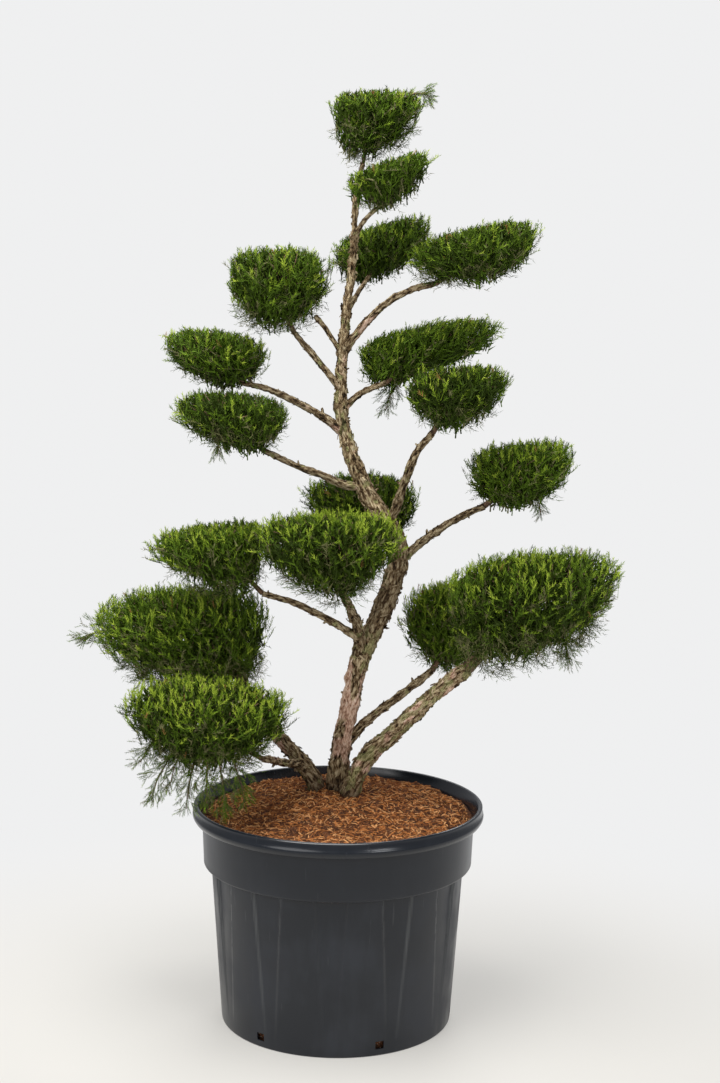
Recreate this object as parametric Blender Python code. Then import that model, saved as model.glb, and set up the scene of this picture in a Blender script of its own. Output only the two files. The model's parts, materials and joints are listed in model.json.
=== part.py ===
"""A Pfitzer juniper, cloud-pruned into seventeen clipped pads, in a round nursery pot.

Metres, +Z up. The origin is the centre of the pot's flat underside. X runs from left to
right across the plant's face and Y from its face to its back.
"""

import math
import random

import bmesh
import bpy
from mathutils import Vector

GAP = 0.0003  # air between neighbouring pieces

# Pot
POT_HEIGHT = 0.486
RIM_RADIUS = 0.3205  # outside of the rolled rim
RIM_CREST = 0.3135  # radius of the rim's highest line
RIM_LIP = 0.453  # height of the rim's lower edge
BAND_TOP_RADIUS = 0.299
BAND_FOOT_RADIUS = 0.2955
BAND_FOOT = 0.355  # height where the plain band ends and the flutes begin
WALL_TOP_RADIUS = 0.2790
FOOT_RADIUS = 0.2545
POT_WALL = 0.0035
POT_FLOOR = 0.005
FLUTES = 12
FLUTE_TURN = math.radians(-2.0)  # the first flute, measured from the front
FLUTE_DEPTH = 0.0045
FLUTE_FOOT = 0.030  # height where a flute has run out
FLUTE_HALF_TOP = math.radians(7.4)
FLUTE_HALF_FOOT = math.radians(2.8)
FLUTE_EDGE = math.radians(1.3)
DRAINS = 6
DRAIN_TURN = math.radians(-38.0)
DRAIN_SIZE = 0.019
DRAIN_HEIGHT = 0.024

# Bark fill
FILL_EDGE = 0.459  # height of the fill against the pot's wall
FILL_CREST = 0.480  # height of the mound that the stems stand on
MOUND = Vector((0.005, 0.105))  # where the stems come out
SEAT_RADIUS = 0.090  # the mound's flat top
SEAT_TOP = FILL_CREST + GAP

# Limbs: how many sides a limb has, and how far apart its rings stand
TRUNK_SIDES, TRUNK_STEP = 10, 0.046
BOUGH_SIDES, BOUGH_STEP = 7, 0.044
FLARE_REACH = 0.030  # the root flare dies away over this height
RIDGE = 0.07  # how far the bark's ridges depart from a round limb

# Clipped pads
CORE_SPREAD = 0.94  # share of the pad's reach that is solid twig and shade
CORE_RISE = 0.88
CORE_DROP = 0.95
CORE_SEGMENTS = 12
SPRAY_AREA = 0.0086  # clipped crown that one spray stands for
RIM_SPACING = 0.092  # between the sprays round a pad's rim
SPRAY_WIDTH = 0.46  # of its length
SPRAY_THICKNESS = 0.16
FRINGE = 0.009  # how far sprays stand out of the clipped form over and round it
UNDER_FRINGE = 0.018  # and how far they hang out of its underside
ARMS = 4
TWIG_RADIUS = 0.0050
STRAY_ROOT = 0.62  # how far towards the pad's middle a stray twig starts
STRAY_KNEE = 0.45  # and where along it the spray at its end begins
STRAY_SAG = 0.012
STRAY_WIDTH = 0.014
STEM_REACH = 0.45  # how far a pad's stem runs on from the bough towards the pad's heart
LIMB_ROOM = 0.0015  # between a pad's core and the limb that passes it

LEAF_GREEN = (0.075, 0.165, 0.022)
BARK_BROWN = (0.190, 0.125, 0.085)
POT_BLACK = (0.018, 0.020, 0.023)
FILL_RED = (0.270, 0.105, 0.040)


# ---------------------------------------------------------------- meshes and finishes
def finish(thing, colour, roughness):
    """Give a piece a Principled material of its own."""
    material = bpy.data.materials.new(thing.name + "_finish")
    material.use_nodes = True
    shader = material.node_tree.nodes["Principled BSDF"]
    shader.inputs["Base Color"].default_value = (*colour, 1.0)
    shader.inputs["Roughness"].default_value = roughness
    shader.inputs["Metallic"].default_value = 0.0
    thing.data.materials.append(material)


def make(name, points, faces):
    """An object from points and faces, with its faces turned outwards."""
    mesh = bpy.data.meshes.new(name)
    mesh.from_pydata([tuple(p) for p in points], [], faces)
    shape = bmesh.new()
    shape.from_mesh(mesh)
    bmesh.ops.recalc_face_normals(shape, faces=shape.faces)
    shape.to_mesh(mesh)
    shape.free()
    thing = bpy.data.objects.new(name, mesh)
    bpy.context.scene.collection.objects.link(thing)
    return thing


def bridge_rings(rings, closed_start, closed_end):
    """Triangles that join rings of equal size, with a pole or a flat cap at each end."""
    points, faces = [], []
    for ring in rings:
        points.extend(ring)
    sides = len(rings[0])
    for row in range(len(rings) - 1):
        for side in range(sides):
            a = row * sides + side
            b = row * sides + (side + 1) % sides
            faces.append((a, b, b + sides))
            faces.append((a, b + sides, a + sides))
    last = (len(rings) - 1) * sides
    for pole, start in ((closed_start, 0), (closed_end, last)):
        loop = [start + side for side in range(sides)]
        if pole is None:
            faces.append(tuple(loop))
            continue
        points.append(pole)
        tip = len(points) - 1
        faces.extend((loop[i], loop[(i + 1) % sides], tip) for i in range(sides))
    return points, faces


def boolean(thing, operation, cutter=None, collection=None):
    """Apply one Boolean to an object, and take its result as the object's mesh."""
    modifier = thing.modifiers.new("shape", "BOOLEAN")
    modifier.operation = operation
    modifier.solver = "EXACT"
    if collection is not None:
        modifier.operand_type = "COLLECTION"
        modifier.collection = collection
    else:
        modifier.object = cutter
    graph = bpy.context.evaluated_depsgraph_get()
    result = bpy.data.meshes.new_from_object(thing.evaluated_get(graph))
    thing.modifiers.remove(modifier)
    thing.data = result


def discard(thing):
    bpy.data.objects.remove(thing)


def islands(shape):
    """The loose parts of a bmesh, each a list of faces."""
    left, found = set(shape.faces), []
    while left:
        front = [left.pop()]
        part = list(front)
        while front:
            face = front.pop()
            near = {other for edge in face.edges for other in edge.link_faces}
            fresh = near & left
            left -= fresh
            front.extend(fresh)
            part.extend(fresh)
        found.append(part)
    return found


def keep_largest(thing):
    """Drop the scraps and sealed hollows that a Boolean leaves."""
    shape = bmesh.new()
    shape.from_mesh(thing.data)
    bmesh.ops.triangulate(shape, faces=shape.faces)
    parts = sorted(islands(shape), key=lambda part: sum(f.calc_area() for f in part))
    scraps = [face for part in parts[:-1] for face in part]
    bmesh.ops.delete(shape, geom=scraps, context="FACES")
    shape.to_mesh(thing.data)
    shape.free()


# ---------------------------------------------------------------- the pot
def mix(a, b, share):
    return a + (b - a) * share


def flute_columns(height):
    """Angle and recess share of the wall's columns at a height, all round."""
    up = (height - FLUTE_FOOT) / (BAND_FOOT - FLUTE_FOOT)
    half = FLUTE_HALF_TOP if up < 0 else mix(FLUTE_HALF_FOOT, FLUTE_HALF_TOP, min(up, 1.0))
    pitch = math.tau / FLUTES
    one = (
        (-half, 0.0),
        (-half + FLUTE_EDGE, 1.0),
        (0.0, 1.0),
        (half - FLUTE_EDGE, 1.0),
        (half, 0.0),
        (pitch / 2, 0.0),
    )
    for flute in range(FLUTES):
        for angle, share in one:
            yield FLUTE_TURN + flute * pitch + angle, share


def wall_radius(height):
    """Outer radius of the wall between its foot and its band, clear of the flutes."""
    return mix(FOOT_RADIUS, WALL_TOP_RADIUS, height / BAND_FOOT)


def recess(height):
    up = (height - FLUTE_FOOT) / (BAND_FOOT - FLUTE_FOOT)
    return FLUTE_DEPTH * min(max(up, 0.0), 1.0)


def pot_ring(radius, height, depth=0.0):
    ring = []
    for angle, share in flute_columns(height):
        reach = radius - depth * share
        ring.append((reach * math.sin(angle), -reach * math.cos(angle), height))
    return ring


def pot_profile():
    """Radius, height and flute depth from the underside up, over the rim and down inside."""
    rim_in = RIM_CREST - 0.007
    rows = [
        (FOOT_RADIUS - 0.004, 0.0, 0.0),
        (FOOT_RADIUS, 0.004, 0.0),
        (wall_radius(FLUTE_FOOT), FLUTE_FOOT, 0.0),
        (wall_radius(BAND_FOOT) - 0.001, BAND_FOOT - 0.004, recess(BAND_FOOT)),
        (BAND_FOOT_RADIUS, BAND_FOOT, 0.0),
        (BAND_TOP_RADIUS, RIM_LIP - 0.006, 0.0),
        (RIM_RADIUS - 0.003, RIM_LIP, 0.0),
        (RIM_RADIUS, RIM_LIP + 0.010, 0.0),
        (RIM_CREST + 0.004, POT_HEIGHT - 0.003, 0.0),
        (RIM_CREST, POT_HEIGHT, 0.0),
        (rim_in, POT_HEIGHT - 0.005, 0.0),
        (BAND_TOP_RADIUS - POT_WALL, RIM_LIP, 0.0),
        (BAND_FOOT_RADIUS - POT_WALL, BAND_FOOT + 0.004, 0.0),
        (WALL_TOP_RADIUS - POT_WALL, BAND_FOOT - 0.001, recess(BAND_FOOT)),
        (wall_radius(FLUTE_FOOT) - POT_WALL, FLUTE_FOOT, 0.0),
        (FOOT_RADIUS - POT_WALL, POT_FLOOR, 0.0),
    ]
    return rows


def build_pot():
    rings = [pot_ring(*row) for row in pot_profile()]
    points, faces = bridge_rings(rings, None, (0, 0, POT_FLOOR))
    pot = make("pot", points, faces)
    for drain in range(DRAINS):
        angle = DRAIN_TURN + drain * math.tau / DRAINS
        bpy.ops.mesh.primitive_cube_add(size=1.0)
        cutter = bpy.context.object
        cutter.hide_render = True
        cutter.display_type = "WIRE"
        cutter.scale = (DRAIN_SIZE, 0.040, DRAIN_SIZE * 0.9)
        cutter.rotation_euler = (0, 0, angle)
        cutter.location = (
            FOOT_RADIUS * math.sin(angle),
            -FOOT_RADIUS * math.cos(angle),
            DRAIN_HEIGHT,
        )
        boolean(pot, "DIFFERENCE", cutter)
        discard(cutter)
    pot.data.shade_smooth()
    pot.data.set_sharp_from_angle(angle=math.radians(25))
    finish(pot, POT_BLACK, 0.38)


# ---------------------------------------------------------------- the bark fill
def fill_height(x, y):
    """Height of the fill: flat under the stems, falling off to the pot's wall."""
    away = (Vector((x, y)) - MOUND).length - SEAT_RADIUS
    if away <= 0.0:
        return FILL_CREST
    fall = min(away / 0.22, 1.0)
    ripple = 0.0035 * math.sin(31 * x + 1.3) * math.cos(27 * y) * min(away / 0.04, 1.0)
    return mix(FILL_CREST, FILL_EDGE, fall * fall * (3 - 2 * fall)) + ripple


def build_fill():
    sides = 36
    deep = WALL_TOP_RADIUS - FLUTE_DEPTH - POT_WALL - GAP - 0.002
    rings = []
    for radius, height in (
        (FOOT_RADIUS - POT_WALL - 0.003, POT_FLOOR + GAP),
        (deep, BAND_FOOT + 0.001),
        (BAND_FOOT_RADIUS - POT_WALL - GAP - 0.001, BAND_FOOT + 0.010),
        (BAND_TOP_RADIUS - POT_WALL - GAP - 0.001, None),
    ):
        ring = []
        for side in range(sides):
            angle = side * math.tau / sides
            x, y = radius * math.cos(angle), radius * math.sin(angle)
            ring.append((x, y, FILL_EDGE if height is None else height))
        rings.append(ring)
    outer = BAND_TOP_RADIUS - POT_WALL - GAP - 0.001
    for share in (0.80, 0.55):
        ring = []
        for side in range(sides):
            angle = side * math.tau / sides
            rim = Vector((outer * math.cos(angle), outer * math.sin(angle)))
            seat = MOUND + Vector((math.cos(angle), math.sin(angle))) * SEAT_RADIUS
            place = seat.lerp(rim, share)
            ring.append((place.x, place.y, fill_height(place.x, place.y)))
        rings.append(ring)
    for reach in (1.45, 1.0):
        ring = []
        for side in range(sides):
            angle = side * math.tau / sides
            x = MOUND.x + SEAT_RADIUS * reach * math.cos(angle)
            y = MOUND.y + SEAT_RADIUS * reach * math.sin(angle)
            ring.append((x, y, fill_height(x, y)))
        rings.append(ring)
    points, faces = bridge_rings(rings, (0, 0, POT_FLOOR + GAP), (*MOUND, FILL_CREST))
    fill = make("bark_fill", points, faces)
    fill.data.shade_smooth()
    fill.data.set_sharp_from_angle(angle=math.radians(40))
    finish(fill, FILL_RED, 0.95)


# ---------------------------------------------------------------- limbs
def smooth_route(points, step):
    """Points along a Catmull-Rom curve through (x, y, z, radius) points, evenly spaced."""
    knots = [Vector(p) for p in points]
    knots = [knots[0] * 2 - knots[1], *knots, knots[-1] * 2 - knots[-2]]
    dense = []
    for i in range(1, len(knots) - 2):
        a, b, c, d = knots[i - 1 : i + 3]
        for j in range(24):
            t = j / 24
            dense.append(
                0.5
                * (
                    2 * b
                    + (c - a) * t
                    + (2 * a - 5 * b + 4 * c - d) * t * t
                    + (3 * b - a - 3 * c + d) * t * t * t
                )
            )
    dense.append(knots[-2])
    along = [0.0]
    for p, q in zip(dense, dense[1:]):
        along.append(along[-1] + (q.xyz - p.xyz).length)
    count = max(2, round(along[-1] / step))
    route, at = [], 0
    for i in range(count + 1):
        want = along[-1] * i / count
        while at < len(along) - 2 and along[at + 1] < want:
            at += 1
        span = along[at + 1] - along[at]
        route.append(dense[at].lerp(dense[at + 1], (want - along[at]) / span))
    return route


def frames(route):
    """A direction and two cross axes at each point of a route, turning as little as can be."""
    out = []
    side = None
    for i, point in enumerate(route):
        before = route[max(i - 1, 0)].xyz
        after = route[min(i + 1, len(route) - 1)].xyz
        ahead = (after - before).normalized()
        if side is None:
            side = ahead.cross(Vector((0.13, 0.97, 0.21))).normalized()
        side = (side - ahead * side.dot(ahead)).normalized()
        out.append((ahead, side, ahead.cross(side)))
    return out


class Limb:
    """One tapering limb: a route of (x, y, z, radius) points, from its foot to its tip."""

    def __init__(self, name, points, parent=None, flare=0.0, pad=None):
        self.name = name
        self.parent = parent
        self.flare = flare
        self.pad = pad
        thick = name == "trunk"
        self.sides = TRUNK_SIDES if thick else BOUGH_SIDES
        self.route = smooth_route(points, TRUNK_STEP if thick else BOUGH_STEP)
        self.frames = frames(self.route)
        self.phase = random.Random(name).uniform(0, math.tau)

    def radius(self, index, angle):
        """Radius of the limb at a ring and an angle round it: ridges, knots and flare."""
        base = self.route[index].w
        ridge = math.sin(3 * angle + self.phase + 0.35 * index)
        knot = math.sin(1.9 * index + self.phase)
        low = (self.route[index].z - SEAT_TOP) / FLARE_REACH
        spread = self.flare * math.exp(-low) * (0.6 + 0.4 * math.sin(4 * angle + 0.6))
        return base * (1 + RIDGE * ridge + 0.03 * knot) + spread

    def rings(self, grow=0.0):
        out = []
        for index, (ahead, side, up) in enumerate(self.frames):
            ring = []
            for step in range(self.sides):
                angle = step * math.tau / self.sides
                reach = self.radius(index, angle) + grow
                arm = side * math.cos(angle) * reach + up * math.sin(angle) * reach
                ring.append(self.route[index].xyz + arm)
            out.append(ring)
        if self.parent is None:
            ahead = self.frames[0][0]
            out[0] = [p + ahead * ((SEAT_TOP - p.z) / ahead.z) for p in out[0]]
        return out

    def solid(self, name, grow=0.0, beyond=0.0):
        rings = self.rings(grow)
        rings[-1] = [p + self.frames[-1][0] * beyond for p in rings[-1]]
        points, faces = bridge_rings(rings, None, None)
        return make(name, points, faces)

    def tip(self):
        """Where the limb ends, the way it points there, and its radius."""
        last = self.route[-1]
        return last.xyz, self.frames[-1][0], last.w

    def clearance(self, point):
        """Distance from a point to the limb's skin."""
        near = 1e9
        for p, q in zip(self.route, self.route[1:]):
            run = q.xyz - p.xyz
            share = (point - p.xyz).dot(run) / run.length_squared
            spot = p.lerp(q, min(max(share, 0.0), 1.0))
            near = min(near, (point - spot.xyz).length - spot.w)
        return near


def build_limbs(limbs):
    """Every limb, with its foot cut to its parent's bark where it grows from another."""
    by_name = {limb.name: limb for limb in limbs}
    for limb in limbs:
        thing = limb.solid(limb.name)
        if limb.parent is not None:
            bark = by_name[limb.parent].solid("parent_bark", GAP)
            boolean(thing, "DIFFERENCE", bark)
            discard(bark)
            keep_largest(thing)
        thing.data.shade_smooth()
        thing.data.set_sharp_from_angle(angle=math.radians(50))
        finish(thing, BARK_BROWN, 0.9)


# ---------------------------------------------------------------- clipped pads
class Pad:
    """The space of one clipped pad, and how its twigs and sprays stand in it.

    The pad's widest line is its rim. Above it the pad is a flattened crown, and below it a
    bowl that draws in to the heel, where the bough comes in.
    """

    def __init__(
        self, name, centre, wide, deep, rise, drop, lean, heel, crown=2.6, bowl=2.5, strays=()
    ):
        self.name = name
        self.centre = Vector(centre)
        self.wide, self.deep = wide, deep
        self.rise, self.drop = rise, drop
        self.lean = lean
        self.heel = Vector(heel)
        self.crown, self.bowl = crown, bowl
        self.strays = [Vector(stray) for stray in strays]
        self.dice = random.Random(name)
        self.wobble = (self.dice.uniform(-0.07, 0.07), self.dice.uniform(-0.05, 0.05))

    def rim(self, x):
        return self.centre.z + self.lean * (x - self.centre.x)

    def reach(self, angle):
        """How far the pad spreads at an angle in plan, as a share of its named reach."""
        return 1 + self.wobble[0] * math.sin(2 * angle) + self.wobble[1] * math.sin(4 * angle)

    def bowl_share(self, plan):
        """0 at the heel and 1 at the rim, along the ray from the heel through a plan point."""
        away = plan - self.heel
        if away.length < 1e-6:
            return 0.0
        a, b, c = away.length_squared, self.heel.dot(away), self.heel.length_squared - 1
        return a / (-b + math.sqrt(b * b - a * c)) if a else 0.0

    def spot(self, angle, share, level, spread=1.0, rise=1.0, drop=1.0):
        """A point of the pad: plan angle and share of the reach, level -1 under to 1 over."""
        plan = Vector((math.cos(angle), math.sin(angle))) * share
        wide = self.reach(angle) * spread
        x = self.centre.x + self.wide * wide * plan.x
        y = self.centre.y + self.deep * wide * plan.y
        over = self.rise * rise * (1 - share**self.crown) ** (1 / self.crown)
        under = self.drop * drop * (1 - self.bowl_share(plan) ** self.bowl)
        return Vector((x, y, self.rim(x) + (over if level > 0 else under) * level))

    def heel_spot(self, spread, drop):
        x = self.centre.x + self.wide * spread * self.heel.x
        y = self.centre.y + self.deep * spread * self.heel.y
        return Vector((x, y, self.rim(x) - self.drop * drop))

    def holds(self, point, slack):
        """Whether a point is inside the pad's space, give or take the slack."""
        dx, dy = point.x - self.centre.x, point.y - self.centre.y
        angle = math.atan2(dy / self.deep, dx / self.wide)
        wide = self.reach(angle)
        plan = Vector((dx / (self.wide * wide + slack), dy / (self.deep * wide + slack)))
        if plan.length >= 1.0:
            return False
        over = self.rise * (1 - plan.length**self.crown) ** (1 / self.crown)
        under = self.drop * (1 - self.bowl_share(plan) ** self.bowl)
        height = point.z - self.rim(point.x)
        return -under - slack <= height <= over + slack


def core_solid(pad):
    """The dense inside of a pad: the pad's own form, drawn in all round."""
    rings = []
    for share, level in ((0.62, 1), (0.97, 1), (0.97, -1), (0.52, -1)):
        ring = []
        for step in range(CORE_SEGMENTS):
            angle = step * math.tau / CORE_SEGMENTS
            spread = CORE_SPREAD * (1 + pad.dice.uniform(-0.04, 0.04))
            inner = pad.spot(angle, share, level, spread, CORE_RISE, CORE_DROP)
            if level < 0:
                heel = pad.heel_spot(spread, CORE_DROP)
                rim = pad.spot(angle, 0.98, -1, spread, CORE_RISE, CORE_DROP)
                inner = heel.lerp(rim, share)
                inner.z -= (1 - share) * share * pad.drop * 0.35
            ring.append(inner)
        rings.append(ring)
    top = pad.spot(0.0, 0.0, 1, CORE_SPREAD, CORE_RISE, CORE_DROP)
    points, faces = bridge_rings(rings, top, pad.heel_spot(CORE_SPREAD, CORE_DROP))
    return make(pad.name, points, faces)


def spray_points(root, tip, width, twist, skew):
    """A toothed blade: a leading tooth, a tooth each side of it, and a swell on both faces."""
    run = tip - root
    ahead = run.normalized()
    side = ahead.cross(Vector((math.cos(twist), math.sin(twist), 0.37))).normalized()
    face = ahead.cross(side)
    outline = (
        (0.0, 0.0),
        (0.50, 0.70 + skew),
        (0.14, 0.66),
        (0.05, 1.0),
        (-0.44, 0.82 - skew),
    )
    points = [root + run * along + side * (across * width) for across, along in outline]
    swell = root + run * 0.45
    thick = face * (run.length * SPRAY_THICKNESS / 2)
    return points, [swell + thick, swell - thick]


def spray_solid(points, swells):
    count = len(points)
    faces = []
    for i in range(count):
        after = (i + 1) % count
        faces.append((i, after, count))
        faces.append((after, i, count + 1))
    return make("spray", [*points, *swells], faces)


def twig_solid(points, radius, sides=3, tip_share=0.45):
    """A short tapering twig through a few points."""
    route = [Vector((*p, 0.0)) for p in points]
    rings = []
    for index, (ahead, side, up) in enumerate(frames(route)):
        here = radius * mix(1.0, tip_share, index / (len(route) - 1))
        rings.append(
            [
                route[index].xyz
                + side * math.cos(step * math.tau / sides) * here
                + up * math.sin(step * math.tau / sides) * here
                for step in range(sides)
            ]
        )
    return make("twig", *bridge_rings(rings, None, None))


def spray_places(pad):
    """Root and tip of each spray of a pad: over its crown, round its rim and under it."""
    dice = pad.dice
    plan_area = math.pi * pad.wide * pad.deep
    crown = max(7, round(plan_area / SPRAY_AREA))
    golden = math.pi * (3 - math.sqrt(5))
    turn = dice.uniform(0, math.tau)
    for i in range(crown):
        share = 0.88 * math.sqrt((i + 0.5) / crown)
        angle = turn + i * golden
        out = Vector((math.cos(angle) * share, math.sin(angle) * share, 1.0)).normalized()
        root = pad.spot(angle, share * 0.94, 1, CORE_SPREAD, CORE_RISE * 0.45)
        yield root, pad.spot(angle, share, 1) + out * FRINGE * dice.uniform(0.5, 1.0)
    girth = math.pi * (pad.wide + pad.deep)
    rim = max(8, round(girth / RIM_SPACING))
    for i in range(rim):
        angle = (i + dice.uniform(-0.15, 0.15)) * math.tau / rim if i else 0.0
        out = Vector((math.cos(angle), math.sin(angle), 0.4))
        tip = pad.spot(angle, 0.99, 1) + out * FRINGE * dice.uniform(0.6, 1.1)
        tip.z += dice.uniform(-0.2, 0.3) * pad.rise
        root = pad.spot(angle, 0.80, -1, CORE_SPREAD, 1.0, 0.25)
        yield root, tip
    under = max(6, round(rim * 0.75))
    for i in range(under):
        angle = turn + (i + dice.uniform(-0.2, 0.2)) * math.tau / under
        share = dice.uniform(0.60, 0.97)
        out = Vector((math.cos(angle) * 0.5, math.sin(angle) * 0.5, -1.0))
        tip = pad.spot(angle, share, -1) + out * UNDER_FRINGE * dice.uniform(0.5, 1.0)
        root = pad.spot(angle, share * 0.85, -1, CORE_SPREAD, 1.0, 0.55)
        yield root, tip


def build_pad(pad, limbs, pads):
    """One pad: its core, the stem that meets its bough, the arms, and the sprays."""
    core = core_solid(pad)
    for limb in limbs:
        if any(pad.holds(point.xyz, 0.02) for point in limb.route):
            room = limb.solid("room", LIMB_ROOM, LIMB_ROOM)
            boolean(core, "DIFFERENCE", room)
            discard(room)
    keep_largest(core)
    pieces = []
    heart = pad.spot(0.0, 0.0, -1, 1.0, 1.0, 0.15)
    forks = []
    for limb in limbs:
        if limb.pad != pad.name:
            continue
        tip, ahead, radius = limb.tip()
        start = tip + ahead * GAP
        fork = start.lerp(heart, STEM_REACH)
        pieces.append(twig_solid([start, start + ahead * 0.016, fork], radius * 0.92, 5, 0.7))
        forks.append(fork)
    fork = forks[0]
    others = [other for other in pads if other is not pad]

    def clear(points):
        for point in points:
            if not pad.holds(point, UNDER_FRINGE + 0.003):
                return False
            if any(limb.clearance(point) < TWIG_RADIUS for limb in limbs):
                return False
            if any(other.holds(point, 0.004) for other in others):
                return False
        return True

    for arm in range(ARMS):
        angle = (arm + pad.dice.uniform(-0.25, 0.25)) * math.tau / ARMS
        out = pad.spot(angle, 0.70, -1, 1.0, 1.0, 0.82)
        if clear([fork.lerp(out, 0.5), fork.lerp(out, 0.75), out]):
            pieces.append(twig_solid([fork, out], TWIG_RADIUS))
    for root, tip in spray_places(pad):
        width = SPRAY_WIDTH * (tip - root).length * pad.dice.uniform(0.85, 1.1)
        twist, skew = pad.dice.uniform(0, math.tau), pad.dice.uniform(-0.06, 0.06)
        points, swells = spray_points(root, tip, width, twist, skew)
        if clear([*points[1:], *swells]):
            pieces.append(spray_solid(points, swells))
    for stray in pad.strays:
        root = stray.lerp(pad.centre, STRAY_ROOT)
        knee = stray.lerp(root, STRAY_KNEE) + Vector((0, 0, STRAY_SAG))
        pieces.append(twig_solid([root, knee, stray], TWIG_RADIUS * 0.8))
        twist = pad.dice.uniform(0, math.tau)
        points, swells = spray_points(knee, stray, STRAY_WIDTH, twist, 0.0)
        pieces.append(spray_solid(points, swells))

    group = bpy.data.collections.new(pad.name + "_pieces")
    bpy.context.scene.collection.children.link(group)
    for piece in pieces:
        bpy.context.scene.collection.objects.unlink(piece)
        group.objects.link(piece)
    boolean(core, "UNION", collection=group)
    for piece in pieces:
        discard(piece)
    bpy.data.collections.remove(group)
    keep_largest(core)
    finish(core, LEAF_GREEN, 0.7)


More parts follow.
